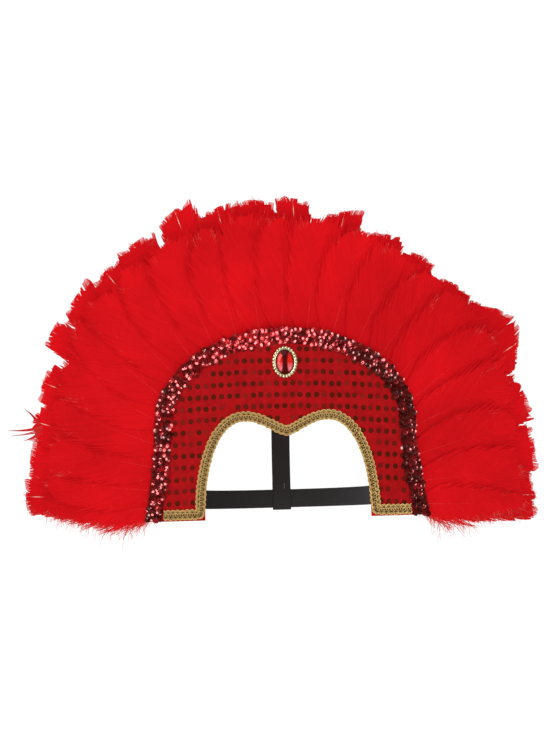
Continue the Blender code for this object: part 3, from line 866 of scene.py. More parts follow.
@dataclass
class SequinPanel:
    """Stiff panel covered in red knit, with rows of flat round sequins."""

    plan: Plan
    stations: int = 261
    strips: int = 22
    edge_round: float = 0.0014
    dot_radius: float = 0.0028
    dot_thickness: float = 0.00014
    dot_sides: int = 14
    column_pitch: float = 0.0083
    row_pitch: float = 0.0120
    first_row: float = 0.1636
    row_tilt: float = -0.016
    row_sag: float = -0.28
    grid_columns: tuple[int, int] = (-19, 20)
    grid_rows: tuple[int, int] = (-13, 3)
    grid_scale: float = 0.995
    grid_shift: float = -0.0010
    shake: float = 0.00025
    lean_deg: float = 2.0
    stand_off: float = 0.00022
    lost_share: float = 0.035
    tone: tuple[float, float] = (0.06, 0.10)
    bright_share: float = 0.10
    bright: float = 0.5
    braid_reach: float = 0.0117
    tuck: float = 0.0012
    jewel_half: tuple[float, float] = (0.0150, 0.0182)
    thinnest: float = 0.06
    seed: int = 11

    def shell(self) -> Surface:
        """Closed shell between the opening's edge and the outer edge.

        Returns:
            Strips from edge to edge, front and back, that come together in a round at the rim:
            the thickness follows the root of one less the square of the way into the round.
        """
        plan = self.plan
        inner = mirrored(plan.arch_half())
        outer = plan.outer_edge()
        shares = np.linspace(0.0, 1.0, self.stations)
        inner = along(inner, shares * walked(inner)[-1])
        outer = along(outer, shares * walked(outer)[-1])
        across = (1 - np.cos(np.linspace(0.0, math.pi, self.strips + 1))) / 2
        flat = inner[:, None] + across[None, :, None] * (outer - inner)[:, None]
        wide = np.linalg.norm(outer - inner, axis=1)[:, None]
        rim = np.minimum(across, 1 - across)[None] * wide
        foot = np.minimum(shares, 1 - shares)[:, None] * walked(outer)[-1]
        way = 1 - np.clip(np.minimum(rim, foot) / self.edge_round, 0.0, 1.0)
        full = np.sqrt(np.maximum(1 - np.square(way), self.thinnest))
        half = plan.thickness / 2
        x, height = flat[..., 0], flat[..., 1]
        back = plan.panel(x, height, -half + half * full)
        front = plan.panel(x, height, -half - half * full)
        rings = np.concatenate([back, front[:, ::-1]], axis=1)
        columns = rings.shape[1]
        uv = np.concatenate([flat, flat[:, ::-1]], axis=1)
        k = np.arange(self.strips)
        cap = np.stack([k, columns - 1 - k, columns - 2 - k, k + 1], axis=-1)
        last = cap[:, ::-1] + (self.stations - 1) * columns
        quads = np.concatenate([grid_quads(self.stations, columns, ring=True), cap, last])
        return Surface(rings.reshape(-1, 3), quads, uv=uv.reshape(-1, 2))

    def dot(self) -> Surface:
        """One flat sequin: a thin disc with a rounded rim and a pinhole in the middle."""
        r, t = self.dot_radius, self.dot_thickness
        radii = np.array([0.03 * r, 0.96 * r, r, 0.96 * r, 0.03 * r])
        rises = np.array([t, t, t / 2, 0.0, 0.0])
        return revolved(radii, rises, self.dot_sides)

    def dots(self) -> Surface:
        """Rows of flat sequins over the fabric between the braid and the trim.

        Returns:
            Discs on a grid whose rows tilt and sag a little, each leaning its own way.
        """
        plan = self.plan
        rng = np.random.default_rng(self.seed)
        columns, rows = np.arange(*self.grid_columns), np.arange(*self.grid_rows)
        column, row = np.meshgrid(columns, rows, indexing="ij")
        x = (column * self.column_pitch).ravel() * self.grid_scale + self.grid_shift
        rows = row.ravel() * self.row_pitch
        height = self.first_row + rows + self.row_tilt * x + self.row_sag * x**2
        x = x + rng.normal(0.0, self.shake, len(x))
        height = height + rng.normal(0.0, self.shake, len(x))
        spot = np.column_stack([x, height])
        keep = inside(spot, plan.outer_edge(TRIM_WIDTH - self.tuck))
        keep &= ~inside(spot, mirrored(plan.arch_half(self.braid_reach - self.tuck)))
        keep &= height > self.braid_reach + self.tuck
        jewel_x, jewel_h = self.jewel_half
        middle = plan.peak_height + STONE_Z
        keep &= np.hypot(x / jewel_x, (height - middle) / jewel_h) > 1.0
        keep &= rng.random(len(x)) > self.lost_share
        x, height = x[keep], height[keep]
        lift = plan.thickness + self.stand_off + rng.uniform(0.0, 0.0001, len(x))
        places = plan.panel(x, height, -lift)
        lean = np.radians(rng.normal(0.0, self.lean_deg, (len(x), 2)))
        axes = tilted(plan.axes(x), lean, rng.uniform(*ANY_TURN, len(x)))
        tone = rng.normal(*self.tone, len(x))
        tone = tone + self.bright * (rng.random(len(x)) < self.bright_share)
        return copies(self.dot(), axes, places, np.clip(tone, 0, 1))

    def dress(self) -> None:
        """Adds the panel and its flat sequins."""
        add_piece("panel_fabric", self.shell(), FABRIC, ("front_panel",))
        add_piece("flat_sequins", self.dots(), SEQUIN, smooth=False)


@dataclass
class CupTrim:
    """Band of loose overlapping cup sequins on the outer edge."""

    plan: Plan
    strip_thickness: float = 0.0009
    strip_ends: float = 0.0012
    strip_sides: float = 0.0006
    radius: float = 0.0031
    cup_depth: float = 0.00072
    cup_thickness: float = 0.00014
    sides: int = 11
    insets: tuple[float, ...] = (0.0026, 0.0070, 0.0114, 0.0158)
    pitch: float = 0.0049
    lift: tuple[float, float] = (0.0010, 0.0022)
    run_shake: float = 0.0010
    spot_shake: float = 0.0009
    spot_limit: float = 0.0016
    end_gap: float = 0.0015
    fallen_deg: tuple[float, float] = (13.0, 7.0)
    lean_deg: float = 10.0
    turned_share: float = 0.2
    tone: tuple[float, float] = (0.20, 0.30)
    # Painted light on the cups left of the crown and painted shade on those to the right.
    painted_light_bell: tuple[float, float, float] = (0.75, -0.03, 0.07)
    painted_shade_side: tuple[float, float, float] = (0.16, 0.06, 0.05)
    seed: int = 23

    def base(self) -> Surface:
        """Strip of fabric that the cups are sewn to: a flat rounded profile along the edge."""
        line = self.plan.outer_edge(TRIM_WIDTH / 2)
        run = np.linspace(self.strip_ends, walked(line)[-1] - self.strip_ends, 240)
        wide, tall = TRIM_WIDTH / 2 - self.strip_sides, self.strip_thickness / 2
        profile = superellipse(whole_turn(14), wide, tall, 0.5)
        return flat_strip(self.plan, along(line, run), self.strip_thickness * 0.6, profile)

    def cup(self) -> Surface:
        """One cup sequin with a hole: a shallow bowl that opens to the front."""
        r, d, t = self.radius, self.cup_depth, self.cup_thickness
        radii = np.array([0.24 * r, 0.62 * r, r, 0.97 * r, 0.24 * r])
        rises = np.array([0.0, 0.12 * d, d, d - 1.4 * t, -t])
        return revolved(radii, rises, self.sides)

    def cups(self) -> Surface:
        """Cups in rows along the edge, each leaning on the last one and shaken a little.

        Returns:
            Copies of the cup whose lean along the row is that of a fallen row of coins.
        """
        plan = self.plan
        rng = np.random.default_rng(self.seed)
        parts = []
        for number, inset in enumerate(self.insets):
            line = plan.outer_edge(inset)
            total = walked(line)[-1]
            count = round(total / self.pitch)
            run = (np.arange(count) + 0.5 * (number % 2) + 0.25) * total / count
            run = run + rng.normal(0.0, self.run_shake, count)
            run = np.clip(run, self.end_gap, total - self.end_gap)
            spot = along(line, run)
            ahead = unit(along(line, run + 0.0005) - along(line, run - 0.0005))
            shake = rng.normal(0.0, self.spot_shake, (count, 2))
            spot = spot + np.clip(shake, -self.spot_limit, self.spot_limit)
            lift = plan.thickness + rng.uniform(*self.lift, count)
            places = plan.panel(spot[:, 0], spot[:, 1], -lift)
            fallen = np.radians(rng.normal(*self.fallen_deg, count))[:, None]
            lean = np.radians(rng.normal(0.0, self.lean_deg, (count, 2))) - ahead * fallen
            axes = tilted(plan.axes(spot[:, 0]), lean, rng.uniform(*ANY_TURN, count))
            turned = rng.random(count) < self.turned_share
            axes[turned, 1:] *= -1.0
            # Cups left of the crown get painted light and those on the right painted shade.
            tone = np.clip(rng.normal(*self.tone, count) + self.painted_side_light(spot[:, 0]), 0.0, 1.0)
            parts.append(copies(self.cup(), axes, places, tone))
        return joined(parts)

    def painted_side_light(self, x: np.ndarray) -> np.ndarray:
        """Painted light on the cups left of the crown, a bell curve, and painted shade on the
        right.
        """
        rise, middle, spread = self.painted_light_bell
        fall, start, reach = self.painted_shade_side
        return rise * bell(x, middle, spread) - fall * np.clip((x - start) / reach, 0.0, 1.0)

    def dress(self) -> None:
        """Adds the strip and the cups."""
        add_piece("trim_strip", self.base(), NET)
        add_piece("trim_cups", self.cups(), CUP, ("sequin_trim",))


@dataclass
class GimpBraid:
    """Gimp braid on the edge of the opening and under the legs: two rows of loops."""

    plan: Plan
    margin: float = -0.0005
    foot_margin: float = 0.0006
    width: float = 0.0112
    pitch: float = 0.0051
    cord_radius: float = 0.00052
    loop_across: float = 0.0021
    loop_along: float = 0.00155
    nested: float = 0.36
    nested_painted_shine: float = 0.68
    lacing: float = 0.0018
    lacing_painted_shine: float = 0.95
    core_radius: float = 0.00040
    steps: int = 16
    sides: int = 7
    corner: float = 0.0030
    end_gap: float = 0.0006
    ground_half: tuple[float, float] = (0.0047, 0.0004)
    ground_lift: float = 0.00045
    ground_painted_shade: float = 0.03
    loop_lift: float = 0.0006
    loop_wave: float = 0.00025
    core_lift: float = 0.0005
    core_wave: float = 0.0002
    uneven: float = 0.12
    smoothing: int = 9

    def middle(self) -> np.ndarray:
        """Middle line of the braid, from one trim over both arches to the other.

        Returns:
            Points as (x, height), with rounded corners at the feet.
        """
        inset = self.margin + self.width / 2
        foot_inset = self.foot_margin + self.width / 2
        half = self.plan.arch_half(inset)
        half = half[half[:, 1] > foot_inset + self.corner + 0.0005]
        end_x = self.plan.half_width(np.array(foot_inset)) - TRIM_WIDTH - self.end_gap
        turn = np.linspace(0.0, math.pi / 2, 9)
        pivot = np.array([self.plan.opening_half_width + inset, foot_inset]) + self.corner
        bend = pivot - self.corner * np.column_stack([np.sin(turn), np.cos(turn)])
        foot = np.column_stack([np.linspace(end_x, pivot[0], 12)[:-1], np.full(11, foot_inset)])
        return mirrored(np.concatenate([foot, bend, half]))

    def frame_at(self, run: np.ndarray) -> tuple[np.ndarray, np.ndarray]:
        """Points and directions across the braid at lengths along its smoothed middle.

        Args:
            run: lengths from the left end.

        Returns:
            (n, 2) points and (n, 2) directions across, to the left of the way.
        """
        line = self.middle()
        total = walked(line)[-1]
        even = along(line, np.linspace(0.0, total, 900))
        kernel = np.ones(self.smoothing) / self.smoothing
        padded = np.pad(even, ((self.smoothing // 2,) * 2, (0, 0)), mode="edge")
        even = np.column_stack([np.convolve(padded[:, k], kernel, "valid") for k in (0, 1)])
        ahead = unit(np.gradient(even, axis=0))
        side = np.column_stack([-ahead[:, 1], ahead[:, 0]])
        place = np.linspace(0.0, total, len(even))
        spot = np.column_stack([np.interp(run, place, even[:, k]) for k in (0, 1)])
        turn = np.column_stack([np.interp(run, place, side[:, k]) for k in (0, 1)])
        return spot, unit(turn)

    def cord(self, centre: float, swing: float, stride: float, phase: float, radius: float,
             lift: float, wave: float, loops: int, painted_shine: float) -> Surface:
        """One cord that loops along the braid: a trochoid, or a plain wave if stride is 0.

        Args:
            centre: middle of its loops across the braid.
            swing: half height of a loop, across.
            stride: how far a loop swings back and forth, along.
            phase: start of the first loop.
            radius: radius of the cord.
            lift: height of its middle over the panel.
            wave: how far it rises and sinks where loops cross.
            loops: number of loops.
            painted_shine: its tone, with a painted highlight where it swings out and painted shade
                where it turns back.

        Returns:
            The cord as a tube.
        """
        total = walked(self.middle())[-1]
        turn = np.linspace(0.0, 2 * math.pi * loops, loops * self.steps + 1)
        pitch = total / loops
        run = turn / (2 * math.pi) * pitch
        shifted = np.clip(run + stride * np.sin(turn + phase), 0.0, total)
        spot, side = self.frame_at(shifted)
        rng = np.random.default_rng(int(1000 * abs(centre) + 10 * phase + loops))
        knots = np.arange(0, turn[-1] + 7, 3.1)
        shake = 1 + self.uneven * np.interp(turn, knots, rng.normal(0.0, 1.0, len(knots)))
        offset = centre + swing * np.cos(turn + phase) * shake
        flat = spot + side * offset[:, None]
        height = lift + wave * np.sin(turn + phase)
        path = self.plan.panel(flat[:, 0], flat[:, 1], -self.plan.thickness - height)
        out = self.plan.axes(flat[:, 0])[:, 2]
        made = tube(path, radius, self.sides, out)
        # Painted highlight on the outer turn of each loop and painted shade where it turns back.
        painted_highlight = painted_shine * (0.74 + 0.36 * np.cos(turn + phase))
        made.tone = np.resize(np.repeat(painted_highlight, self.sides), len(made.points))
        return made

    def base(self) -> Surface:
        """Flat woven ground under the loops, painted dark as shade between them."""
        total = walked(self.middle())[-1]
        spot = self.frame_at(np.linspace(0.0, total, 300))[0]
        profile = circle(self.ground_half, whole_turn(12))
        ground = flat_strip(self.plan, spot, self.ground_lift, profile)
        # The ground's dark tone is painted shade between the loops.
        ground.tone = np.full(len(ground.points), self.ground_painted_shade)
        return ground

    def dress(self) -> None:
        """Adds the ground, the two rows of loops and the chain between them."""
        total = walked(self.middle())[-1]
        loops = round(total / self.pitch)
        row = self.width / 2 - self.loop_across - self.cord_radius
        lift = self.cord_radius + self.loop_lift
        parts = [self.base()]
        for centre, swing, phase in ((row, 1, 0.0), (-row, -1, math.pi)):
            # The nested loops are painted darker than the outer ones: painted shade inside the
            # loops.
            for size, painted_shine in ((1.0, 1.0), (self.nested, self.nested_painted_shine)):
                across, ahead = swing * size * self.loop_across, size * self.loop_along
                made = self.cord(centre, across, ahead, phase, self.cord_radius, lift,
                                 self.loop_wave, loops, painted_shine)
                parts.append(made)
        for phase in (0.5 * math.pi, 1.5 * math.pi):
            made = self.cord(0.0, self.lacing, 0.0, phase, self.core_radius, lift + self.core_lift,
                             self.core_wave, loops, self.lacing_painted_shine)
            parts.append(made)
        add_piece("gimp_braid", joined(parts), GIMP, ("gold_braid",))


@dataclass
class Jewel:
    """Oval cut stone in a plated cup with a ring of beads."""

    plan: Plan
    wall: float = 0.0011
    bead_radius: float = 0.0016
    bead_count: int = 26
    bead_sink: float = 0.0007
    rim_out_mm: tuple[float, ...] = (0.0, 0.0, 0.0, -0.15, -0.4, -0.65, -0.8, -0.8, -3.0, -6.5)
    rim_rise_mm: tuple[float, ...] = (0.0, 1.2, 2.2, 2.5, 2.6, 2.5, 2.2, 1.0, 0.9, 0.9)

    def __post_init__(self) -> None:
        """Works out the half sizes of the cup and where its back lies."""
        self.half = (STONE_HALF[0] + self.wall, STONE_HALF[1] + self.wall)
        self.seat = -self.plan.thickness - self.plan.clearance

    def rim(self) -> Surface:
        """Plated cup: a rounded rim round a shallow dish, turned to an oval."""
        wide, tall = self.half
        turn = whole_turn(96)[:, None]
        edge, rise = np.array(self.rim_out_mm) * 1e-3, np.array(self.rim_rise_mm) * 1e-3
        x = (wide + edge) * np.cos(turn)
        z = STONE_Z + (tall + edge) * np.sin(turn)
        rings = np.stack([x, np.broadcast_to(self.seat - rise, x.shape), z], axis=-1)
        rows, columns = rings.shape[:2]
        middle = np.array([[0.0, self.seat - rise[-1], STONE_Z], [0.0, self.seat, STONE_Z]])
        rim = np.arange(rows) * columns
        inner = fan(rows * columns, rim + columns - 1)
        outer = fan(rows * columns + 1, rim, flip=True)
        return Surface(
            np.concatenate([rings.reshape(-1, 3), middle]),
            grid_quads(rows, columns, loop=True),
            np.concatenate([inner, outer]),
        )

    def beads(self) -> Surface:
        """Ring of round beads, each a sphere with closed poles."""
        out = self.bead_radius - self.bead_sink
        oval = circle(np.array(self.half) + out, np.linspace(0.0, 2 * math.pi, 721))
        spot = along(oval, np.arange(self.bead_count) / self.bead_count * walked(oval)[-1])
        y = np.full(len(spot), self.seat - self.bead_radius)
        places = np.column_stack([spot[:, 0], y, STONE_Z + spot[:, 1]])
        turn = np.linspace(0.0, math.pi, 9)
        path = np.column_stack([np.zeros(9), np.zeros(9), -self.bead_radius * np.cos(turn)])
        radius = self.bead_radius * np.sin(turn)[1:-1]
        ball = tube(path[1:-1], radius, 12, np.tile(RIGHT, (7, 1)))
        ball.points[-2:] = path[[0, -1]]
        axes = np.tile(np.eye(3), (len(spot), 1, 1))
        return copies(ball, axes, places, np.full(len(spot), 0.5))

    def dress(self) -> None:
        """Adds the setting and finishes the stone."""
        setting = joined([self.rim(), self.beads()])
        add_piece("beaded_setting", setting, PLATE, ("gold_setting",))
        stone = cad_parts["red_stone"]
        stone.data.materials.clear()
        stone.data.materials.append(CutStone().material())


# Straps


@dataclass
class Straps:
    """Elastic head band and crown strap, woven flat and 20 mm wide."""

    plan: Plan
    width: float = 0.020
    thickness: float = 0.0012
    band_height: float = 0.020
    band_seam: float = 0.026
    band_fold: float = 0.0032
    band_depth: float = 0.158
    band_ease: float = 0.0025
    seam_gap: float = 0.034
    seam: float = 0.026
    crown_arc: float = 0.078
    crown_tail: float = 0.008
    stitch: float = 0.0026
    stitch_inset: float = 0.0030
    thread_radius: float = 0.00022
    tail_row: float = 0.0075
    knot_x: float = 0.0030
    knot_reach: tuple[float, float] = (-0.0035, 0.0025)

    def __post_init__(self) -> None:
        """Works out where a strap behind the panel lies and how far apart two plies are."""
        self.seat = self.plan.clearance + self.thickness / 2
        self.ply = self.thickness + self.plan.clearance

    def profile(self) -> np.ndarray:
        """Section of the elastic: a flat bar with rounded edges, as (thickness, width)."""
        half_t, half_w = self.thickness / 2, self.width / 2
        turn = np.linspace(-math.pi / 2, math.pi / 2, 7)
        edge = np.column_stack([half_t * np.sin(turn), half_w - half_t + half_t * np.cos(turn)])
        flat = np.linspace(half_w - half_t, -half_w + half_t, 17)[1:-1]
        top = np.column_stack([np.full(15, half_t), flat])
        return np.concatenate([edge, top, -edge, -top])

    def band_plan(self) -> np.ndarray:
        """Middle line of the head band from above: seams, folds and half an ellipse."""
        plan = self.plan
        fold_x = plan.opening_half_width + self.band_fold
        seam = np.linspace(fold_x + self.band_seam, fold_x, 24)
        seam_line = np.column_stack([seam, plan.bow(seam) + self.seat])
        slope = plan.bow_slope * fold_x / math.hypot(fold_x, plan.bow_round)
        lean = math.atan(slope)
        pivot = seam_line[-1] + self.band_fold * np.array([-math.sin(lean), math.cos(lean)])
        turn = np.linspace(-math.pi / 2 + lean, -math.pi, 12)[1:]
        fold_line = pivot + self.band_fold * circle((1.0, 1.0), turn)
        start_x, start_y = fold_line[-1]
        flat = self.width / 2 + self.band_ease
        angle = np.linspace(0.0, math.pi / 2, 70)[1:]
        loop = circle((start_x - flat, self.band_depth), angle) + (flat, start_y)
        across = np.linspace(flat, 0.0, 8)[1:]
        back = np.column_stack([across, np.full(7, loop[-1, 1])])
        half = np.concatenate([seam_line, fold_line, loop, back])
        return np.concatenate([half, half[-2::-1] * (-1.0, 1.0)])

    def crown_profile(self) -> np.ndarray:
        """Middle line of the crown strap from the side, as (y, height)."""
        plan, seat, ply = self.plan, self.seat, self.ply
        back_y = self.band_plan()[:, 1].max()
        inner_y = back_y - ply
        band_top = self.band_height + self.width / 2
        seam_foot = plan.peak_height + self.seam_gap
        seam_top = seam_foot + self.seam
        seam = np.column_stack([np.full(12, seat), np.linspace(seam_foot, seam_top, 12)])
        angle = np.linspace(0.0, math.pi, 110)[1:]
        fall = band_top + self.crown_tail - seam_top
        arc = np.column_stack(
            [
                (seat + inner_y) / 2 - (inner_y - seat) / 2 * np.cos(angle),
                seam_top + fall * angle / math.pi + self.crown_arc * np.sin(angle),
            ]
        )
        turn_foot = self.band_height - self.width / 2 - plan.clearance
        down = np.linspace(arc[-1, 1], turn_foot, 12)[1:-1]
        front_ply = np.column_stack([np.full(10, inner_y), down])
        turn = np.linspace(math.pi, 2 * math.pi, 14)
        hook = circle((ply, ply), turn) + (back_y, turn_foot)
        up = np.linspace(turn_foot, band_top + self.crown_tail, 14)[1:]
        tail = np.column_stack([np.full(13, back_y + ply), up])
        return np.concatenate([seam, arc, front_ply, hook, tail])

    def woven(self, path: np.ndarray, out: np.ndarray, across: np.ndarray) -> Surface:
        """Ribbon of elastic along a path, its uv as (along, across) for the weave."""
        profile = self.profile()
        ribbon = sweep(path, out, across, profile)
        count = len(path) * len(profile)
        ribbon.uv[:count, 1] = np.tile(profile[:, 1], len(path))
        return ribbon

    def band(self) -> Surface:
        """Head band from the back of one leg round the head to the other."""
        line = self.band_plan()
        ahead = unit(np.gradient(line, axis=0))
        path = np.column_stack([line, np.full(len(line), self.band_height - self.plan.peak_height)])
        out = np.column_stack([-ahead[:, 1], ahead[:, 0], np.zeros(len(line))])
        return self.woven(path, out, np.tile(UP, (len(line), 1)))

    def crown(self) -> Surface:
        """Crown strap from the panel over the head, looped round the head band."""
        line = self.crown_profile()
        ahead = unit(np.gradient(line, axis=0))
        zero = np.zeros(len(line))
        path = np.column_stack([zero, line[:, 0], line[:, 1] - self.plan.peak_height])
        out = np.column_stack([zero, -ahead[:, 1], ahead[:, 0]])
        return self.woven(path, out, np.tile(RIGHT, (len(line), 1)))

    def stitches(self) -> Surface:
        """Box of running stitches on each seam, seen from behind, and on the strap's loop.

        Returns:
            Short arched tubes along the rectangle of each seam.
        """
        across = self.plan.opening_half_width + self.band_fold + self.band_seam / 2
        height = self.plan.peak_height + self.seam_gap + self.seam / 2
        parts = [
            self.box((-across, self.band_height), self.band_seam, self.width),
            self.box((across, self.band_height), self.band_seam, self.width),
            self.box((0.0, height), self.width, self.seam),
        ]
        loop_y = self.band_plan()[:, 1].max()
        reach = self.ply + self.thickness / 2
        tail_h = self.band_height + self.width / 2 + self.crown_tail * 0.55
        line = np.array([[-self.tail_row, tail_h], [self.tail_row, tail_h]])
        knot = tail_h + np.array(self.knot_reach)
        knot = np.column_stack([np.full(2, self.knot_x), knot])
        parts.append(self.row(line, loop_y + reach))
        parts.append(self.row(line, loop_y - reach, way=-1.0))
        parts.append(self.row(knot, loop_y - reach, way=-1.0, tone=1.0))
        return joined(parts)

    def box(self, middle: tuple[float, float], wide: float, tall: float) -> Surface:
        """Stitches along a rectangle a little inside the edges of a seam on the panel."""
        half = np.array([wide, tall]) / 2 - self.stitch_inset
        corners = np.array([[-1, -1], [1, -1], [1, 1], [-1, 1], [-1, -1]]) * half + middle
        return self.row(corners, self.plan.clearance + self.thickness, bowed=True)

    def row(self, corners: np.ndarray, depth: float, way: float = 1.0, tone: float = 0.0,
            bowed: bool = False) -> Surface:
        """Running stitches along a flat line.

        Args:
            corners: (n, 2) points as (x, height).
            depth: depth of the surface that they lie on, without the bow.
            way: 1 where they stand out to the back, -1 to the front.
            tone: 0 for black thread, 1 for pale.
            bowed: True where the surface follows the bow of the panel.

        Returns:
            Tubes, each half a sine over the surface.
        """
        total = walked(corners)[-1]
        count = max(1, round(total / self.stitch))
        share = np.linspace(0.08, 0.78, 6)
        run = (np.arange(count)[:, None] + share[None]) * total / count
        flat = along(corners, run.ravel()).reshape(count, 6, 2)
        rise = self.thread_radius * np.sin(np.linspace(0.0, math.pi, 6))
        bow = self.plan.bow(flat[..., 0]) if bowed else 0.0
        y = bow + depth + way * np.broadcast_to(rise, flat.shape[:2])
        path = np.stack([flat[..., 0], y, flat[..., 1] - self.plan.peak_height], axis=-1)
        out = np.tile((0.0, 1.0, 0.0), (6, 1))
        made = joined([tube(one, self.thread_radius, 6, out) for one in path])
        made.tone = np.full(len(made.points), tone)
        return made

    def dress(self) -> None:
        """Adds both straps and their stitches."""
        add_piece("head_band_elastic", self.band(), ELASTIC, ("head_band",))
        add_piece("crown_strap_elastic", self.crown(), ELASTIC, ("crown_strap",))
        add_piece("seam_stitches", self.stitches(), THREAD)


# Feathers


class Form(Enum):
    """Outline of a feather: half widths at STATIONS, as shares of its full half width."""

    SQUARE = (0.06, 0.26, 0.60, 0.84, 0.95, 1.00, 1.00, 0.99, 0.96, 0.91, 0.82)
    ROUND = (0.06, 0.26, 0.60, 0.86, 0.97, 1.00, 0.96, 0.84, 0.68, 0.46, 0.20)
    POINTED = (0.06, 0.26, 0.58, 0.82, 0.95, 0.98, 0.88, 0.68, 0.46, 0.24, 0.05)
    RAGGED = (0.06, 0.26, 0.60, 0.84, 0.97, 1.00, 0.86, 0.96, 0.70, 0.76, 0.34)
    BELLIED = (0.06, 0.40, 0.84, 1.00, 0.96, 0.80, 0.62, 0.50, 0.42, 0.34, 0.24)


STATIONS = (0.0, 0.09, 0.20, 0.34, 0.50, 0.66, 0.79, 0.88, 0.94, 0.98, 1.0)


class Cut(NamedTuple):
    """One feather of the fan, as shares of the fan's lengths."""

    place: float
    reach: float
    width: float
    form: Form
    curl: float
    slant: float


BACK_ROW = (
    Cut(0.043, 1.068, 0.80, Form.SQUARE, 0.00, 0.05),
    Cut(0.080, 1.025, 0.98, Form.SQUARE, 0.00, 0.00),
    Cut(0.120, 1.020, 0.98, Form.RAGGED, 0.02, 0.05),
    Cut(0.168, 0.996, 0.90, Form.SQUARE, -0.02, 0.12),
    Cut(0.212, 1.075, 0.62, Form.SQUARE, 0.03, 0.00),
    Cut(0.256, 1.050, 0.94, Form.SQUARE, 0.02, 0.20),
    Cut(0.300, 1.000, 0.96, Form.SQUARE, 0.00, 0.15),
    Cut(0.343, 1.020, 0.92, Form.SQUARE, -0.02, -0.03),
    Cut(0.390, 1.090, 0.84, Form.SQUARE, 0.02, 0.36),
    Cut(0.435, 1.010, 0.98, Form.SQUARE, 0.00, 0.10),
    Cut(0.478, 1.018, 0.92, Form.RAGGED, -0.02, -0.10),
    Cut(0.520, 1.018, 0.74, Form.SQUARE, -0.04, -0.16),
    Cut(0.567, 0.966, 0.84, Form.SQUARE, 0.02, 0.38),
    Cut(0.622, 0.905, 0.80, Form.SQUARE, 0.00, 0.22),
    Cut(0.662, 0.886, 1.00, Form.RAGGED, 0.02, 0.15),
    Cut(0.712, 0.888, 1.04, Form.SQUARE, 0.00, 0.28),
    Cut(0.762, 1.032, 0.94, Form.SQUARE, 0.03, 0.60),
    Cut(0.811, 1.080, 0.94, Form.SQUARE, -0.01, -0.75),
    Cut(0.863, 1.002, 1.04, Form.SQUARE, -0.01, 0.08),
    Cut(0.917, 1.022, 1.04, Form.SQUARE, 0.01, -0.05),
    Cut(0.968, 1.024, 1.00, Form.SQUARE, 0.01, 0.10),
)
FRONT_ROW = (
    Cut(0.024, 0.900, 0.76, Form.BELLIED, 0.04, 0.00),
    Cut(0.058, 0.890, 0.92, Form.ROUND, 0.00, 0.10),
    Cut(0.100, 0.870, 0.96, Form.SQUARE, -0.02, -0.15),
    Cut(0.142, 0.890, 0.94, Form.ROUND, 0.02, 0.00),
    Cut(0.186, 0.880, 0.96, Form.SQUARE, 0.00, 0.20),
    Cut(0.232, 0.910, 0.98, Form.ROUND, 0.02, 0.00),
    Cut(0.278, 0.890, 1.00, Form.SQUARE, -0.02, -0.20),
    Cut(0.321, 0.900, 0.96, Form.ROUND, 0.00, 0.00),
    Cut(0.367, 0.890, 1.00, Form.SQUARE, 0.02, 0.15),
    Cut(0.413, 0.880, 0.98, Form.POINTED, 0.00, 0.00),
    Cut(0.456, 0.900, 0.96, Form.SQUARE, 0.02, -0.10),
    Cut(0.499, 0.870, 0.96, Form.ROUND, 0.00, 0.00),
    Cut(0.543, 0.870, 0.98, Form.SQUARE, -0.02, 0.15),
    Cut(0.591, 0.850, 1.02, Form.ROUND, 0.02, 0.00),
    Cut(0.640, 0.820, 1.02, Form.SQUARE, 0.00, -0.15),
    Cut(0.689, 0.810, 1.02, Form.ROUND, 0.02, 0.00),
    Cut(0.738, 0.850, 1.02, Form.SQUARE, 0.00, 0.10),
    Cut(0.788, 0.880, 1.00, Form.ROUND, -0.02, 0.00),
    Cut(0.837, 0.880, 0.98, Form.SQUARE, 0.01, -0.15),
    Cut(0.888, 0.870, 1.00, Form.ROUND, 0.00, 0.00),
    Cut(0.938, 0.880, 0.96, Form.SQUARE, 0.02, 0.15),
    Cut(0.981, 0.930, 0.74, Form.BELLIED, -0.04, 0.00),
)


@dataclass(frozen=True)
class Lay:
    """How a row of feathers lies behind the panel."""

    seat: float
    slope: float = 0.0
    bend: float = 0.0
    tone: float = 0.5
    fray: float = 0.007
    torn: float = 0.2
    patches: int = 3
    downy: float = 0.4
    bare: float = 0.45


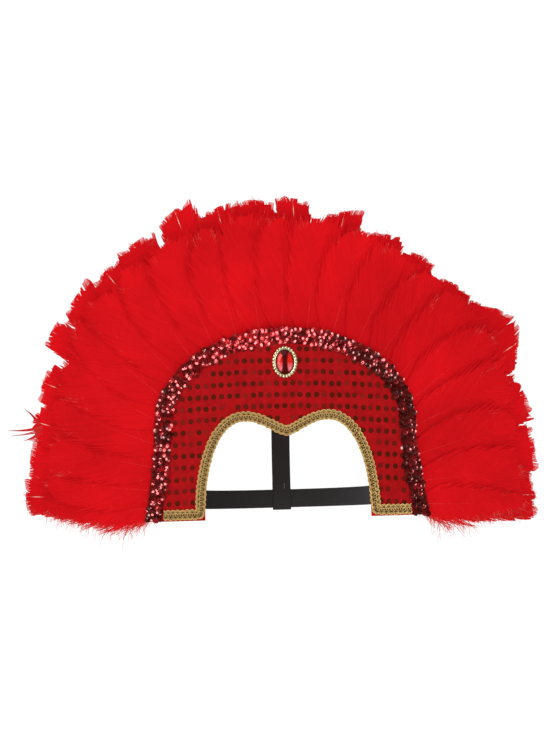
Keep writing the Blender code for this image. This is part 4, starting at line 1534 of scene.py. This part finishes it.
@dataclass
class Feather:
    """One feather: barbs on both sides of a quill, with a fringe of loose hairs."""

    plan: Plan
    cut: Cut
    lay: Lay
    root: np.ndarray
    tip: np.ndarray
    seed: int
    full_width: float = 0.056
    shingle: float = 0.040
    root_inset: float = 0.016
    slant_power: int = 6
    spacing: float = 0.00062
    barb_width: float = 0.00095
    barb_steps: int = 6
    clump: tuple[float, float] = (0.004, 0.016)
    rip: tuple[float, float] = (0.009, 0.022)
    quill_radius: float = 0.00042
    hair_width: float = 0.00016
    hair_steps: int = 4
    core_inset: float = 0.0032
    core_least: float = 0.0008
    core_half: float = 0.00012
    core_depth: float = 0.00022
    core_sides: int = 14
    swell: tuple[float, float] = (0.915, 0.035)
    barb_shake: float = 0.3
    uneven: float = 0.032
    uneven_flank: float = 0.035
    notch: tuple[float, float] = (0.02, 0.08)
    tip_zone: tuple[float, float] = (0.74, 0.14)
    barb_bow: tuple[float, float] = (0.62, 0.36)
    cling: tuple[float, float] = (0.0, 0.16)
    cling_more: float = 0.4
    cling_share: float = 0.12
    flutter: tuple[float, float] = (0.00018, 0.00004)
    roll: float = 0.07
    tone_spread: tuple[float, float] = (0.03, 0.025)
    tone_rise: float = 0.06
    patches_from: float = 0.70
    patch_span: tuple[int, int] = (3, 12)
    hair_long: tuple[float, float] = (0.0015, 0.0060)
    hair_low: tuple[float, float] = (0.28, 0.14)
    hair_tone: tuple[float, float] = (0.12, 0.2)

    def __post_init__(self) -> None:
        """Works out the feather's length and its directions ahead and aside."""
        self.length = float(np.linalg.norm(self.tip - self.root))
        self.ahead = (self.tip - self.root) / self.length
        self.aside = np.array([self.ahead[1], -self.ahead[0]])
        self.rng = np.random.default_rng(self.seed)

    def half(self, share: np.ndarray) -> np.ndarray:
        """Half width of the vane at shares of its length."""
        widths = np.interp(share, STATIONS, self.cut.form.value)
        return self.full_width / 2 * self.cut.width * widths

    def at(self, across: np.ndarray, ahead: np.ndarray, lift: np.ndarray) -> np.ndarray:
        """Points of the vane in space.

        Args:
            across: distance to the right of the quill.
            ahead: distance from the root.
            lift: distance to the front of the vane.

        Returns:
            Points laid along the quill's curve, slanted at the tip, tilted like a shingle, bent
            by the lay and carried onto the bow.
        """
        share = ahead / self.length
        bent = across + self.cut.curl * self.length * share**2
        fore = ahead + self.cut.slant * np.clip(share, 0, 1) ** self.slant_power * across
        x = self.root[0] + self.ahead[0] * fore + self.aside[0] * bent
        height = self.root[1] + self.ahead[1] * fore + self.aside[1] * bent
        past = np.maximum(0.0, ahead - self.root_inset)
        depth = self.lay.seat + self.lay.slope * past + self.lay.bend * past**2
        return self.plan.place(x, height, depth + self.shingle * across - lift)

    def outline(self) -> np.ndarray:
        """Edge of the right half of the vane, from the root up the side and over the tip."""
        share = np.linspace(0.03, 1.0, 200)
        side = np.column_stack([self.half(share), share * self.length])
        wide = side[-1, 0]
        tip = np.column_stack([np.linspace(wide, 0.0, 20)[1:], np.full(19, self.length)])
        return np.concatenate([side, tip])

    def start_of(self, end: np.ndarray) -> np.ndarray:
        """Where on the quill the barb that ends at a point of the outline leaves it."""
        share = end[:, 1] / self.length
        reach = 1.25 + 0.9 * share
        return np.maximum(end[:, 1] - reach * end[:, 0], 0.01 * self.length)

    def core(self) -> Surface:
        """Thin closed web between the barbs, a little smaller than the vane.

        Returns:
            A flat lens-shaped section carried from the root nearly to the tip.
        """
        share, sides = np.linspace(0.0, 0.965, 34), self.core_sides
        turn = whole_turn(sides)
        half = np.maximum(self.half(share) - self.core_inset, self.core_least)
        wide = half[:, None] * np.cos(turn)
        lift = np.broadcast_to(self.core_half * np.sin(turn) - self.core_depth, wide.shape)
        rings = self.at(wide, np.broadcast_to(share[:, None] * self.length, wide.shape), lift)
        points = np.concatenate([rings.reshape(-1, 3), rings.mean(axis=1)[[0, -1]]])
        size = wide.size
        last = fan(size + 1, np.arange(size - sides, size), flip=True)
        tris = np.concatenate([fan(size, np.arange(sides)), last])
        # The web is a little darker than the barbs: painted shade seen through the gaps between
        # them.
        tone = np.full(len(points), self.lay.tone - 0.06)
        return Surface(points, grid_quads(len(rings), sides, ring=True), tris, tone)

    def barbs(self, side: float, fluff: float) -> tuple[Surface, Surface]:
        """Barbs on one side of the quill, and the down that grows from their ends.

        Each barb is a parabola from the quill to the edge. Runs of neighbours cling together
        at their ends, so the edge parts here and there.

        Args:
            side: 1 for the right side, -1 for the left.
            fluff: 0 for a clean edge with a few loose patches, 1 for drooping down all along.

        Returns:
            The barbs and the down, as ribbons that narrow towards their ends.
        """
        rng = self.rng
        edge = self.outline()
        total = walked(edge)[-1]
        count = int(total / self.spacing)
        shake = rng.uniform(-self.barb_shake, self.barb_shake, count)
        run = (np.arange(count) + 0.5 + shake) * total / count
        borders = np.cumsum(rng.uniform(*self.clump, int(total / self.clump[0]) + 2))
        tuft = np.searchsorted(borders, run)
        middle = borders[tuft] - np.diff(borders, prepend=0.0)[tuft] / 2
        end = along(edge, run)
        target = along(edge, np.minimum(middle, total))
        many = len(borders) + 1
        flank = np.clip(1.25 - 1.35 * end[:, 1] / self.length, 0.0, 1.0)
        stretch = 1 + rng.normal(0.0, self.uneven, many)[tuft]
        fray = self.lay.fray + self.uneven_flank * flank
        stretch = stretch + rng.normal(0.0, 1.0, count) * fray
        notch = (rng.random(many) < self.lay.torn)[tuft] * rng.uniform(*self.notch, many)[tuft]
        rips = np.cumsum(rng.uniform(*self.rip, int(total / self.rip[0]) + 2))
        piece = np.searchsorted(rips, run)
        off = np.abs(2 * (rips[piece] - run) / np.diff(rips, prepend=0.0)[piece] - 1)
        deep = rng.uniform(0.0, 0.9 * self.lay.torn, len(rips) + 1)[piece]
        zone, spread = self.tip_zone
        near_tip = np.clip((end[:, 1] / self.length - zone) / spread, 0.0, 1.0)
        stretch = stretch - notch - deep * near_tip * off**1.3
        start = self.start_of(end)
        reach_x = end[:, 0] * stretch
        reach_y = start + (end[:, 1] - start) * stretch
        s = np.linspace(0.0, 1.0, self.barb_steps + 1)[None]
        bow_x, bow_y = self.barb_bow
        bend_x, bend_y = bow_x * reach_x, start + bow_y * (reach_y - start)
        x = 2 * s * (1 - s) * bend_x[:, None] + s**2 * reach_x[:, None]
        y = (1 - s) ** 2 * start[:, None] + 2 * s * (1 - s) * bend_y[:, None]
        y = y + s**2 * reach_y[:, None]
        cling = rng.uniform(*self.cling, many)
        cling = cling + self.cling_more * (rng.random(many) < self.cling_share)
        cling = cling[tuft][:, None] * np.clip((s - 0.5) / 0.5, 0, 1) ** 2
        x = x + cling * (target[:, 0] - end[:, 0])[:, None]
        y = y + cling * (target[:, 1] - end[:, 1])[:, None]
        lift = rng.normal(0.0, self.flutter[0], many)[tuft][:, None] * s**2
        lift = lift + rng.normal(0.0, self.flutter[1], (count, 1))
        way = unit(np.stack([np.gradient(x, axis=1), np.gradient(y, axis=1)], axis=-1))
        size = 0.5 * self.barb_width * (1 - 0.6 * s**5) * np.ones((count, 1))
        roll = np.sin(rng.normal(0.0, self.roll, (count, 1)))
        tuft_spread, barb_spread = self.tone_spread
        tone = rng.normal(0.0, tuft_spread, many)[tuft]
        tone = tone + rng.normal(self.lay.tone, barb_spread, count)
        tone = tone[:, None] + self.tone_rise * (s - 0.5)
        vane = self.strands(side, x, y, way, size, lift, size * roll, tone)
        return vane, self.down(side, fluff, x, y, way, lift)

    def strands(self, side: float, x: np.ndarray, y: np.ndarray, way: np.ndarray,
                size: np.ndarray, lift: np.ndarray, roll: np.ndarray,
                tone: np.ndarray) -> Surface:
        """Ribbons along strands given in the feather's own plane.

        Args:
            side: 1 for the right side, -1 for the left.
            x: (b, s) distances out from the quill.
            y: (b, s) distances from the root.
            way: (b, s, 2) directions of the strands.
            size: (b, s) half widths.
            lift: (b, s) distances to the front.
            roll: (b, s) how much further to the front one edge lies.
            tone: (b, s) values.

        Returns:
            Ribbons whose faces point to the front.
        """
        edges = []
        for hand in (-1.0, 1.0):
            ex = x - hand * size * way[..., 1]
            ey = y + hand * size * way[..., 0]
            edges.append(self.at(side * ex, ey, lift + hand * roll))
        if side < 0:
            edges.reverse()
        return ribbons(edges[0], edges[1], tone)

    def down(self, side: float, fluff: float, x: np.ndarray, y: np.ndarray, way: np.ndarray,
             lift: np.ndarray) -> Surface:
        """Fine strands that grow on from the ends of some barbs, in a few patches.

        Args:
            side: 1 for the right side, -1 for the left.
            fluff: 0 for a few patches, 1 for drooping down all along.
            x: (b, s) distances of the barbs out from the quill.
            y: (b, s) their distances from the root.
            way: (b, s, 2) their directions.
            lift: (b, s) their distances to the front.

        Returns:
            Fine ribbons, each a curve whose turn grows along it.
        """
        rng = self.rng
        count = len(x)
        spots = rng.integers(int(self.patches_from * count), count, self.lay.patches)
        spans = rng.integers(*self.patch_span, self.lay.patches)
        near = np.min(np.abs(np.arange(count)[:, None] - spots) / spans, axis=1) < 1.0
        chance = 0.02 + 0.9 * near + 0.95 * fluff
        grow = np.repeat(np.flatnonzero(rng.random(count) < chance), 2)
        many = len(grow)
        low = bell(y[grow, -2] / self.length, *self.hair_low)
        long = rng.uniform(*self.hair_long, many)
        long = long * (1 + fluff * (2.4 * rng.random(many) ** 2 + 1.5 * low))
        angle = np.arctan2(way[grow, -2, 1], way[grow, -2, 0])
        droop = fluff * rng.uniform(0.5, 1.0, many)
        angle = (1 - droop) * angle + droop * rng.normal(0.35, 0.35, many)
        s = np.linspace(0.0, 1.0, self.hair_steps + 1)[None]
        turn = rng.normal(0.0, 0.16, many)[:, None] + rng.normal(0.0, 0.35, many)[:, None] * s
        turn = angle[:, None] + turn
        step = long[:, None] / self.hair_steps * np.ones_like(s)
        step[:, 0] = 0.0
        from_x, from_y = x[grow, -2], y[grow, -2]
        hx = np.cumsum(np.cos(turn) * step, axis=1) + from_x[:, None]
        hy = np.cumsum(np.sin(turn) * step, axis=1) + from_y[:, None]
        rise = lift[grow, -2][:, None] + rng.normal(0.0003, 0.0009, many)[:, None] * s
        size = 0.5 * self.hair_width * (1 + fluff - 0.6 * s) * np.ones((many, 1))
        tone = np.clip(rng.normal(*self.hair_tone, many), 0.0, 1.0)
        tone = tone[:, None] + 0.25 * (1 - fluff) * s
        heading = np.stack([np.cos(turn), np.sin(turn)], axis=-1)
        return self.strands(side, hx, hy, heading, size, rise, 0.0 * size, tone)

    def quill(self) -> Surface:
        """Quill from the root nearly to the tip, sunk into the vane.

        Returns:
            A tapered tube. On some feathers it is pale near the tip, where it lies bare, and
            its radius, height and tone swell there as a bell curve does.
        """
        share = np.linspace(0.0, 0.97, 44)
        bare = bell(share, *self.swell) * (self.rng.random() < self.lay.bare)
        lift = (1.1 * bare - 0.5) * self.quill_radius
        path = self.at(0.0 * share, share * self.length, lift)
        radius = self.quill_radius * (1 - 0.85 * share + 0.9 * bare)
        out = self.plan.axes(path[:, 0])[:, 2]
        made = tube(path, radius, 6, out)
        made.tone = np.resize(np.repeat(bare, 6), len(made.points))
        return made

    def dress(self, name: str, node: str, fluffs: tuple[float, float]) -> None:
        """Adds the feather.

        Args:
            name: name of the piece.
            node: CAD node that it stands for.
            fluffs: how downy its left and right sides are.
        """
        left, left_down = self.barbs(-1.0, fluffs[0])
        right, right_down = self.barbs(1.0, fluffs[1])
        vane = joined([self.core(), left, right])
        piece = add_piece(name, vane, FEATHER, (node,), solid=False)
        down = joined([left_down, right_down])
        for label, surface, finish, solid in (
            ("quill", self.quill(), RACHIS, True),
            ("down", down, DOWN, False),
        ):
            child = add_piece(f"{name}_{label}", surface, finish, solid=solid)
            child.parent = piece
            child.matrix_parent_inverse = Matrix.Identity(4)


@dataclass
class FeatherFan:
    """Two rows of feathers behind the outer edge of the panel."""

    plan: Plan
    half_width: float = 0.270
    rise: float = 0.281
    centre: float = 0.0525
    squareness: float = 2.2
    droop_deg: float = 12.0
    root_inset: float = 0.016
    full_width: float = 0.056
    shingle: float = 0.105
    quill: float = 0.0008
    vane_front: float = 0.0004
    front_bend: float = -0.50
    downy: float = 0.045
    stray_depth: float = 0.018
    stray_half: float = 0.0022
    stray_width: float = 0.0006
    stray_barbs: int = 9
    loose: tuple[tuple[tuple[float, float], tuple[float, float], float], ...] = (
        ((-0.258, 0.1030), (-0.2960, 0.1010), 0.0015),
        ((-0.258, 0.1000), (-0.2930, 0.0950), 0.0010),
        ((-0.262, 0.1060), (-0.2780, 0.1240), -0.0012),
        ((-0.262, 0.0960), (-0.2800, 0.0890), 0.0008),
    )

    def edge(self) -> np.ndarray:
        """Mean outline of the feather tips: a superellipse from foot to foot."""
        turn = np.radians(np.linspace(180 + self.droop_deg, -self.droop_deg, 400))
        oval = superellipse(turn, self.half_width, self.rise, 2 / self.squareness)
        return oval + (0.0, self.centre)

    def feather(self, cut: Cut, lay: Lay, seed: int) -> Feather:
        """Lays one feather along the line from its root to its place on the fan."""
        inner = self.plan.outer_edge(self.root_inset)
        outer = self.edge()
        root = along(inner, np.array([cut.place * walked(inner)[-1]]))[0]
        aim = along(outer, np.array([cut.place * walked(outer)[-1]]))[0]
        return Feather(self.plan, cut, lay, root, root + cut.reach * (aim - root), seed)

    def strays(self) -> Surface:
        """Barbs that have come loose and stand out past the left edge, each a bundle.

        Returns:
            Ribbons from (x, height) to (x, height), bowed as a sine, that close to a point.
        """
        rng = np.random.default_rng(5)
        parts = []
        for start, end, bow in self.loose:
            many = self.stray_barbs
            share = np.linspace(0.0, 1.0, 9)
            run = np.array(end) - np.array(start)
            line = np.array(start) + share[:, None] * run
            way = unit(run)
            side = np.array([-way[1], way[0]])
            spread = np.linspace(-1.0, 1.0, many)[:, None] * self.stray_half * (1 - share**0.8)
            spread = spread + bow * np.sin(math.pi * share) + rng.normal(0.0, 0.0001, (many, 1))
            flat = line[None] + spread[..., None] * side
            size = self.stray_width / 2 * (1 - 0.75 * share) * np.ones((many, 1))
            edges = [flat + hand * size[..., None] * side for hand in (-1.0, 1.0)]
            depth = np.full(size.shape, self.stray_depth)
            left, right = (self.plan.place(e[..., 0], e[..., 1], depth) for e in edges)
            parts.append(ribbons(right, left, np.full(size.shape, 0.1)))
        return joined(parts)

    def dress(self) -> None:
        """Adds every feather of both rows, and the loose barbs."""
        tilt = self.shingle * self.full_width / 2 * Form.SQUARE.value[1]
        gap = self.plan.clearance + self.vane_front
        front_seat = gap + tilt + self.quill
        back_seat = front_seat + gap + 2 * tilt + self.quill
        # The front row's lower tone is painted shade: it keeps the front row, which the lights
        # reach more fully, as dark as the back row.
        front = Lay(front_seat, 0.0, self.front_bend, tone=0.42, fray=0.10, torn=0.05, patches=1,
                    downy=1.0, bare=0.0)
        rows = (
            ("front", FRONT_ROW, front),
            ("back", BACK_ROW, Lay(back_seat, slope=self.shingle, tone=0.62)),
        )
        for row, cuts, lay in rows:
            for number, cut in enumerate(cuts, start=1):
                feather = self.feather(cut, lay, seed=100 * (row == "back") + number)
                ends = cut.place < self.downy, cut.place > 1 - self.downy
                fluffs = (lay.downy * ends[0], lay.downy * ends[1])
                feather.dress(f"{row}_plume_{number:02d}", f"{row}_feather_{number:02d}", fluffs)
        add_piece("stray_barbs", self.strays(), DOWN, solid=False)


# Studio


def toward(azimuth: float, elevation: float) -> Vector:
    """Direction at degrees to the right of the front and degrees above level."""
    a, e = math.radians(azimuth), math.radians(elevation)
    return Vector((math.sin(a) * math.cos(e), -math.cos(a) * math.cos(e), math.sin(e)))


@dataclass
class Studio:
    """Camera at the photograph's angle, soft lights and a pale floor."""

    pixel: float = 0.00105
    frame_height_px: int = 735
    distance: float = 3.5
    aim: tuple[float, float, float] = (-0.01034, 0.0, 0.0723)
    azimuth_deg: float = -2.25
    elevation_deg: float = -2.65
    roll_deg: float = 1.6
    floor_z: float = -0.36
    floor_radius: float = 8.0
    floor_sides: int = 64
    light_aim: tuple[float, float, float] = (0.0, 0.0, 0.05)
    window_azimuth: float = -32.0
    window_elevation: float = 12.0
    window_strength: float = 8.0
    window_edge: tuple[float, float] = (0.90, 0.965)
    shade: float = 0.02
    high_gloss: float = 0.30
    left_gloss: float = -0.20
    soft: float = 0.28
    backdrop: float = 1.05

    def camera(self) -> None:
        """Adds the camera: as far off as a catalogue photograph, rolled as the photograph is."""
        data = bpy.data.cameras.new("camera")
        data.sensor_width = 36.0
        data.lens = 36.0 * self.distance / (self.frame_height_px * self.pixel)
        data.clip_start, data.clip_end = 0.05, 60.0
        camera = bpy.data.objects.new("camera", data)
        bpy.context.scene.collection.objects.link(camera)
        roll = math.radians(self.roll_deg)
        turn = math.radians(self.azimuth_deg)
        back = toward(self.azimuth_deg, self.elevation_deg)
        right = Vector((math.cos(turn), math.sin(turn), 0.0))
        up = back.cross(right)
        rolled_right = right * math.cos(roll) - up * math.sin(roll)
        rolled_up = up * math.cos(roll) + right * math.sin(roll)
        facing = Matrix((rolled_right, rolled_up, back)).transposed()
        place = Vector(self.aim) + back * self.distance
        camera.matrix_world = Matrix.Translation(place) @ facing.to_4x4()
        bpy.context.scene.camera = camera

    def light(self, name: str, azimuth: float, elevation: float, distance: float, size: float,
              power: float, gloss: bool = True) -> None:
        """Adds one square soft light that faces the headdress.

        Args:
            name: its name.
            azimuth: degrees to the right of the front.
            elevation: degrees above level.
            distance: distance from the headdress.
            size: side of the square.
            power: watts.
            gloss: False for a fill light that glossy pieces don't mirror.
        """
        data = bpy.data.lights.new(name, "AREA")
        data.shape = "SQUARE"
        data.size = size
        data.energy = power
        lamp = bpy.data.objects.new(name, data)
        lamp.visible_glossy = gloss
        way = toward(azimuth, elevation)
        lamp.location = Vector(self.light_aim) + way * distance
        lamp.rotation_euler = way.to_track_quat("Z", "Y").to_euler()
        bpy.context.scene.collection.objects.link(lamp)

    def world(self) -> None:
        """Sets the surroundings: white to the camera, soft for matt pieces, dim for gloss."""
        world = bpy.data.worlds.new("surroundings")
        bpy.context.scene.world = world
        world.use_nodes = True
        bench = Bench(world.node_tree)
        way = bench.add("ShaderNodeTexCoord")
        split = bench.add("ShaderNodeSeparateXYZ", {0: way.outputs["Generated"]})
        high = bench.math("MULTIPLY", split.outputs[2], self.high_gloss)
        left = bench.math("MULTIPLY", split.outputs[0], self.left_gloss)
        sides = [bench.math("MAXIMUM", one, 0.0) for one in (high, left)]
        aim = tuple(toward(self.window_azimuth, self.window_elevation))
        near = bench.add(
            "ShaderNodeVectorMath", {0: way.outputs["Generated"], 1: aim}, operation="DOT_PRODUCT"
        ).outputs["Value"]
        start, end = self.window_edge
        window = bench.add(
            "ShaderNodeMapRange",
            {0: near, 1: start, 2: end, 3: self.shade, 4: self.window_strength},
            interpolation_type="SMOOTHSTEP",
        ).outputs[0]
        seen = bench.math("ADD", bench.math("ADD", *sides), window)
        path = bench.add("ShaderNodeLightPath")
        strength = self.soft
        for ray, level in (("Is Glossy Ray", seen), ("Is Camera Ray", self.backdrop)):
            mix = {0: path.outputs[ray], 2: strength, 3: level}
            strength = bench.add("ShaderNodeMix", mix, data_type="FLOAT").outputs[0]
        back = bench.tree.nodes["Background"]
        back.inputs[0].default_value = (1.0, 1.0, 1.0, 1.0)
        bench.link(strength, back.inputs[1])

    def floor(self) -> None:
        """Adds a pale floor well below the headdress: a flat disc of one face."""
        sides = self.floor_sides
        rim = circle((self.floor_radius, self.floor_radius), whole_turn(sides)) + (0.0, 2.0)
        mesh = bpy.data.meshes.new("floor")
        points = np.column_stack([rim, np.full(sides, self.floor_z)])
        mesh.from_pydata(points.tolist(), [], [list(range(sides))])
        levels = {
            "Base Color": (0.92, 0.92, 0.92, 1.0),
            "Roughness": 0.95,
            "Specular IOR Level": 0.0,
            "Emission Color": (1.0, 1.0, 1.0, 1.0),
            "Emission Strength": 0.76,
        }
        mesh.materials.append(new_finish("pale_floor", levels)[0])
        piece = bpy.data.objects.new("floor", mesh)
        piece.visible_glossy = False
        bpy.context.scene.collection.objects.link(piece)

    def build(self) -> None:
        """Adds everything that isn't part of the headdress."""
        self.camera()
        self.world()
        self.floor()
        self.light("key", azimuth=-46, elevation=28, distance=1.9, size=1.2, power=6)
        self.light("top", azimuth=-18, elevation=52, distance=2.0, size=1.2, power=3)
        self.light("fill", azimuth=6, elevation=14, distance=3.2, size=1.6, power=37, gloss=False)
        settings = bpy.context.scene.view_settings
        settings.view_transform = "Standard"
        settings.look = "None"


def main() -> None:
    """Builds the headdress and its studio in order."""
    logging.basicConfig(level=logging.INFO, format="%(message)s", force=True)
    plan = Plan()
    Studio().build()
    for part in (SequinPanel, CupTrim, GimpBraid, Jewel, Straps, FeatherFan):
        part(plan).dress()


if __name__ == "__main__":
    main()
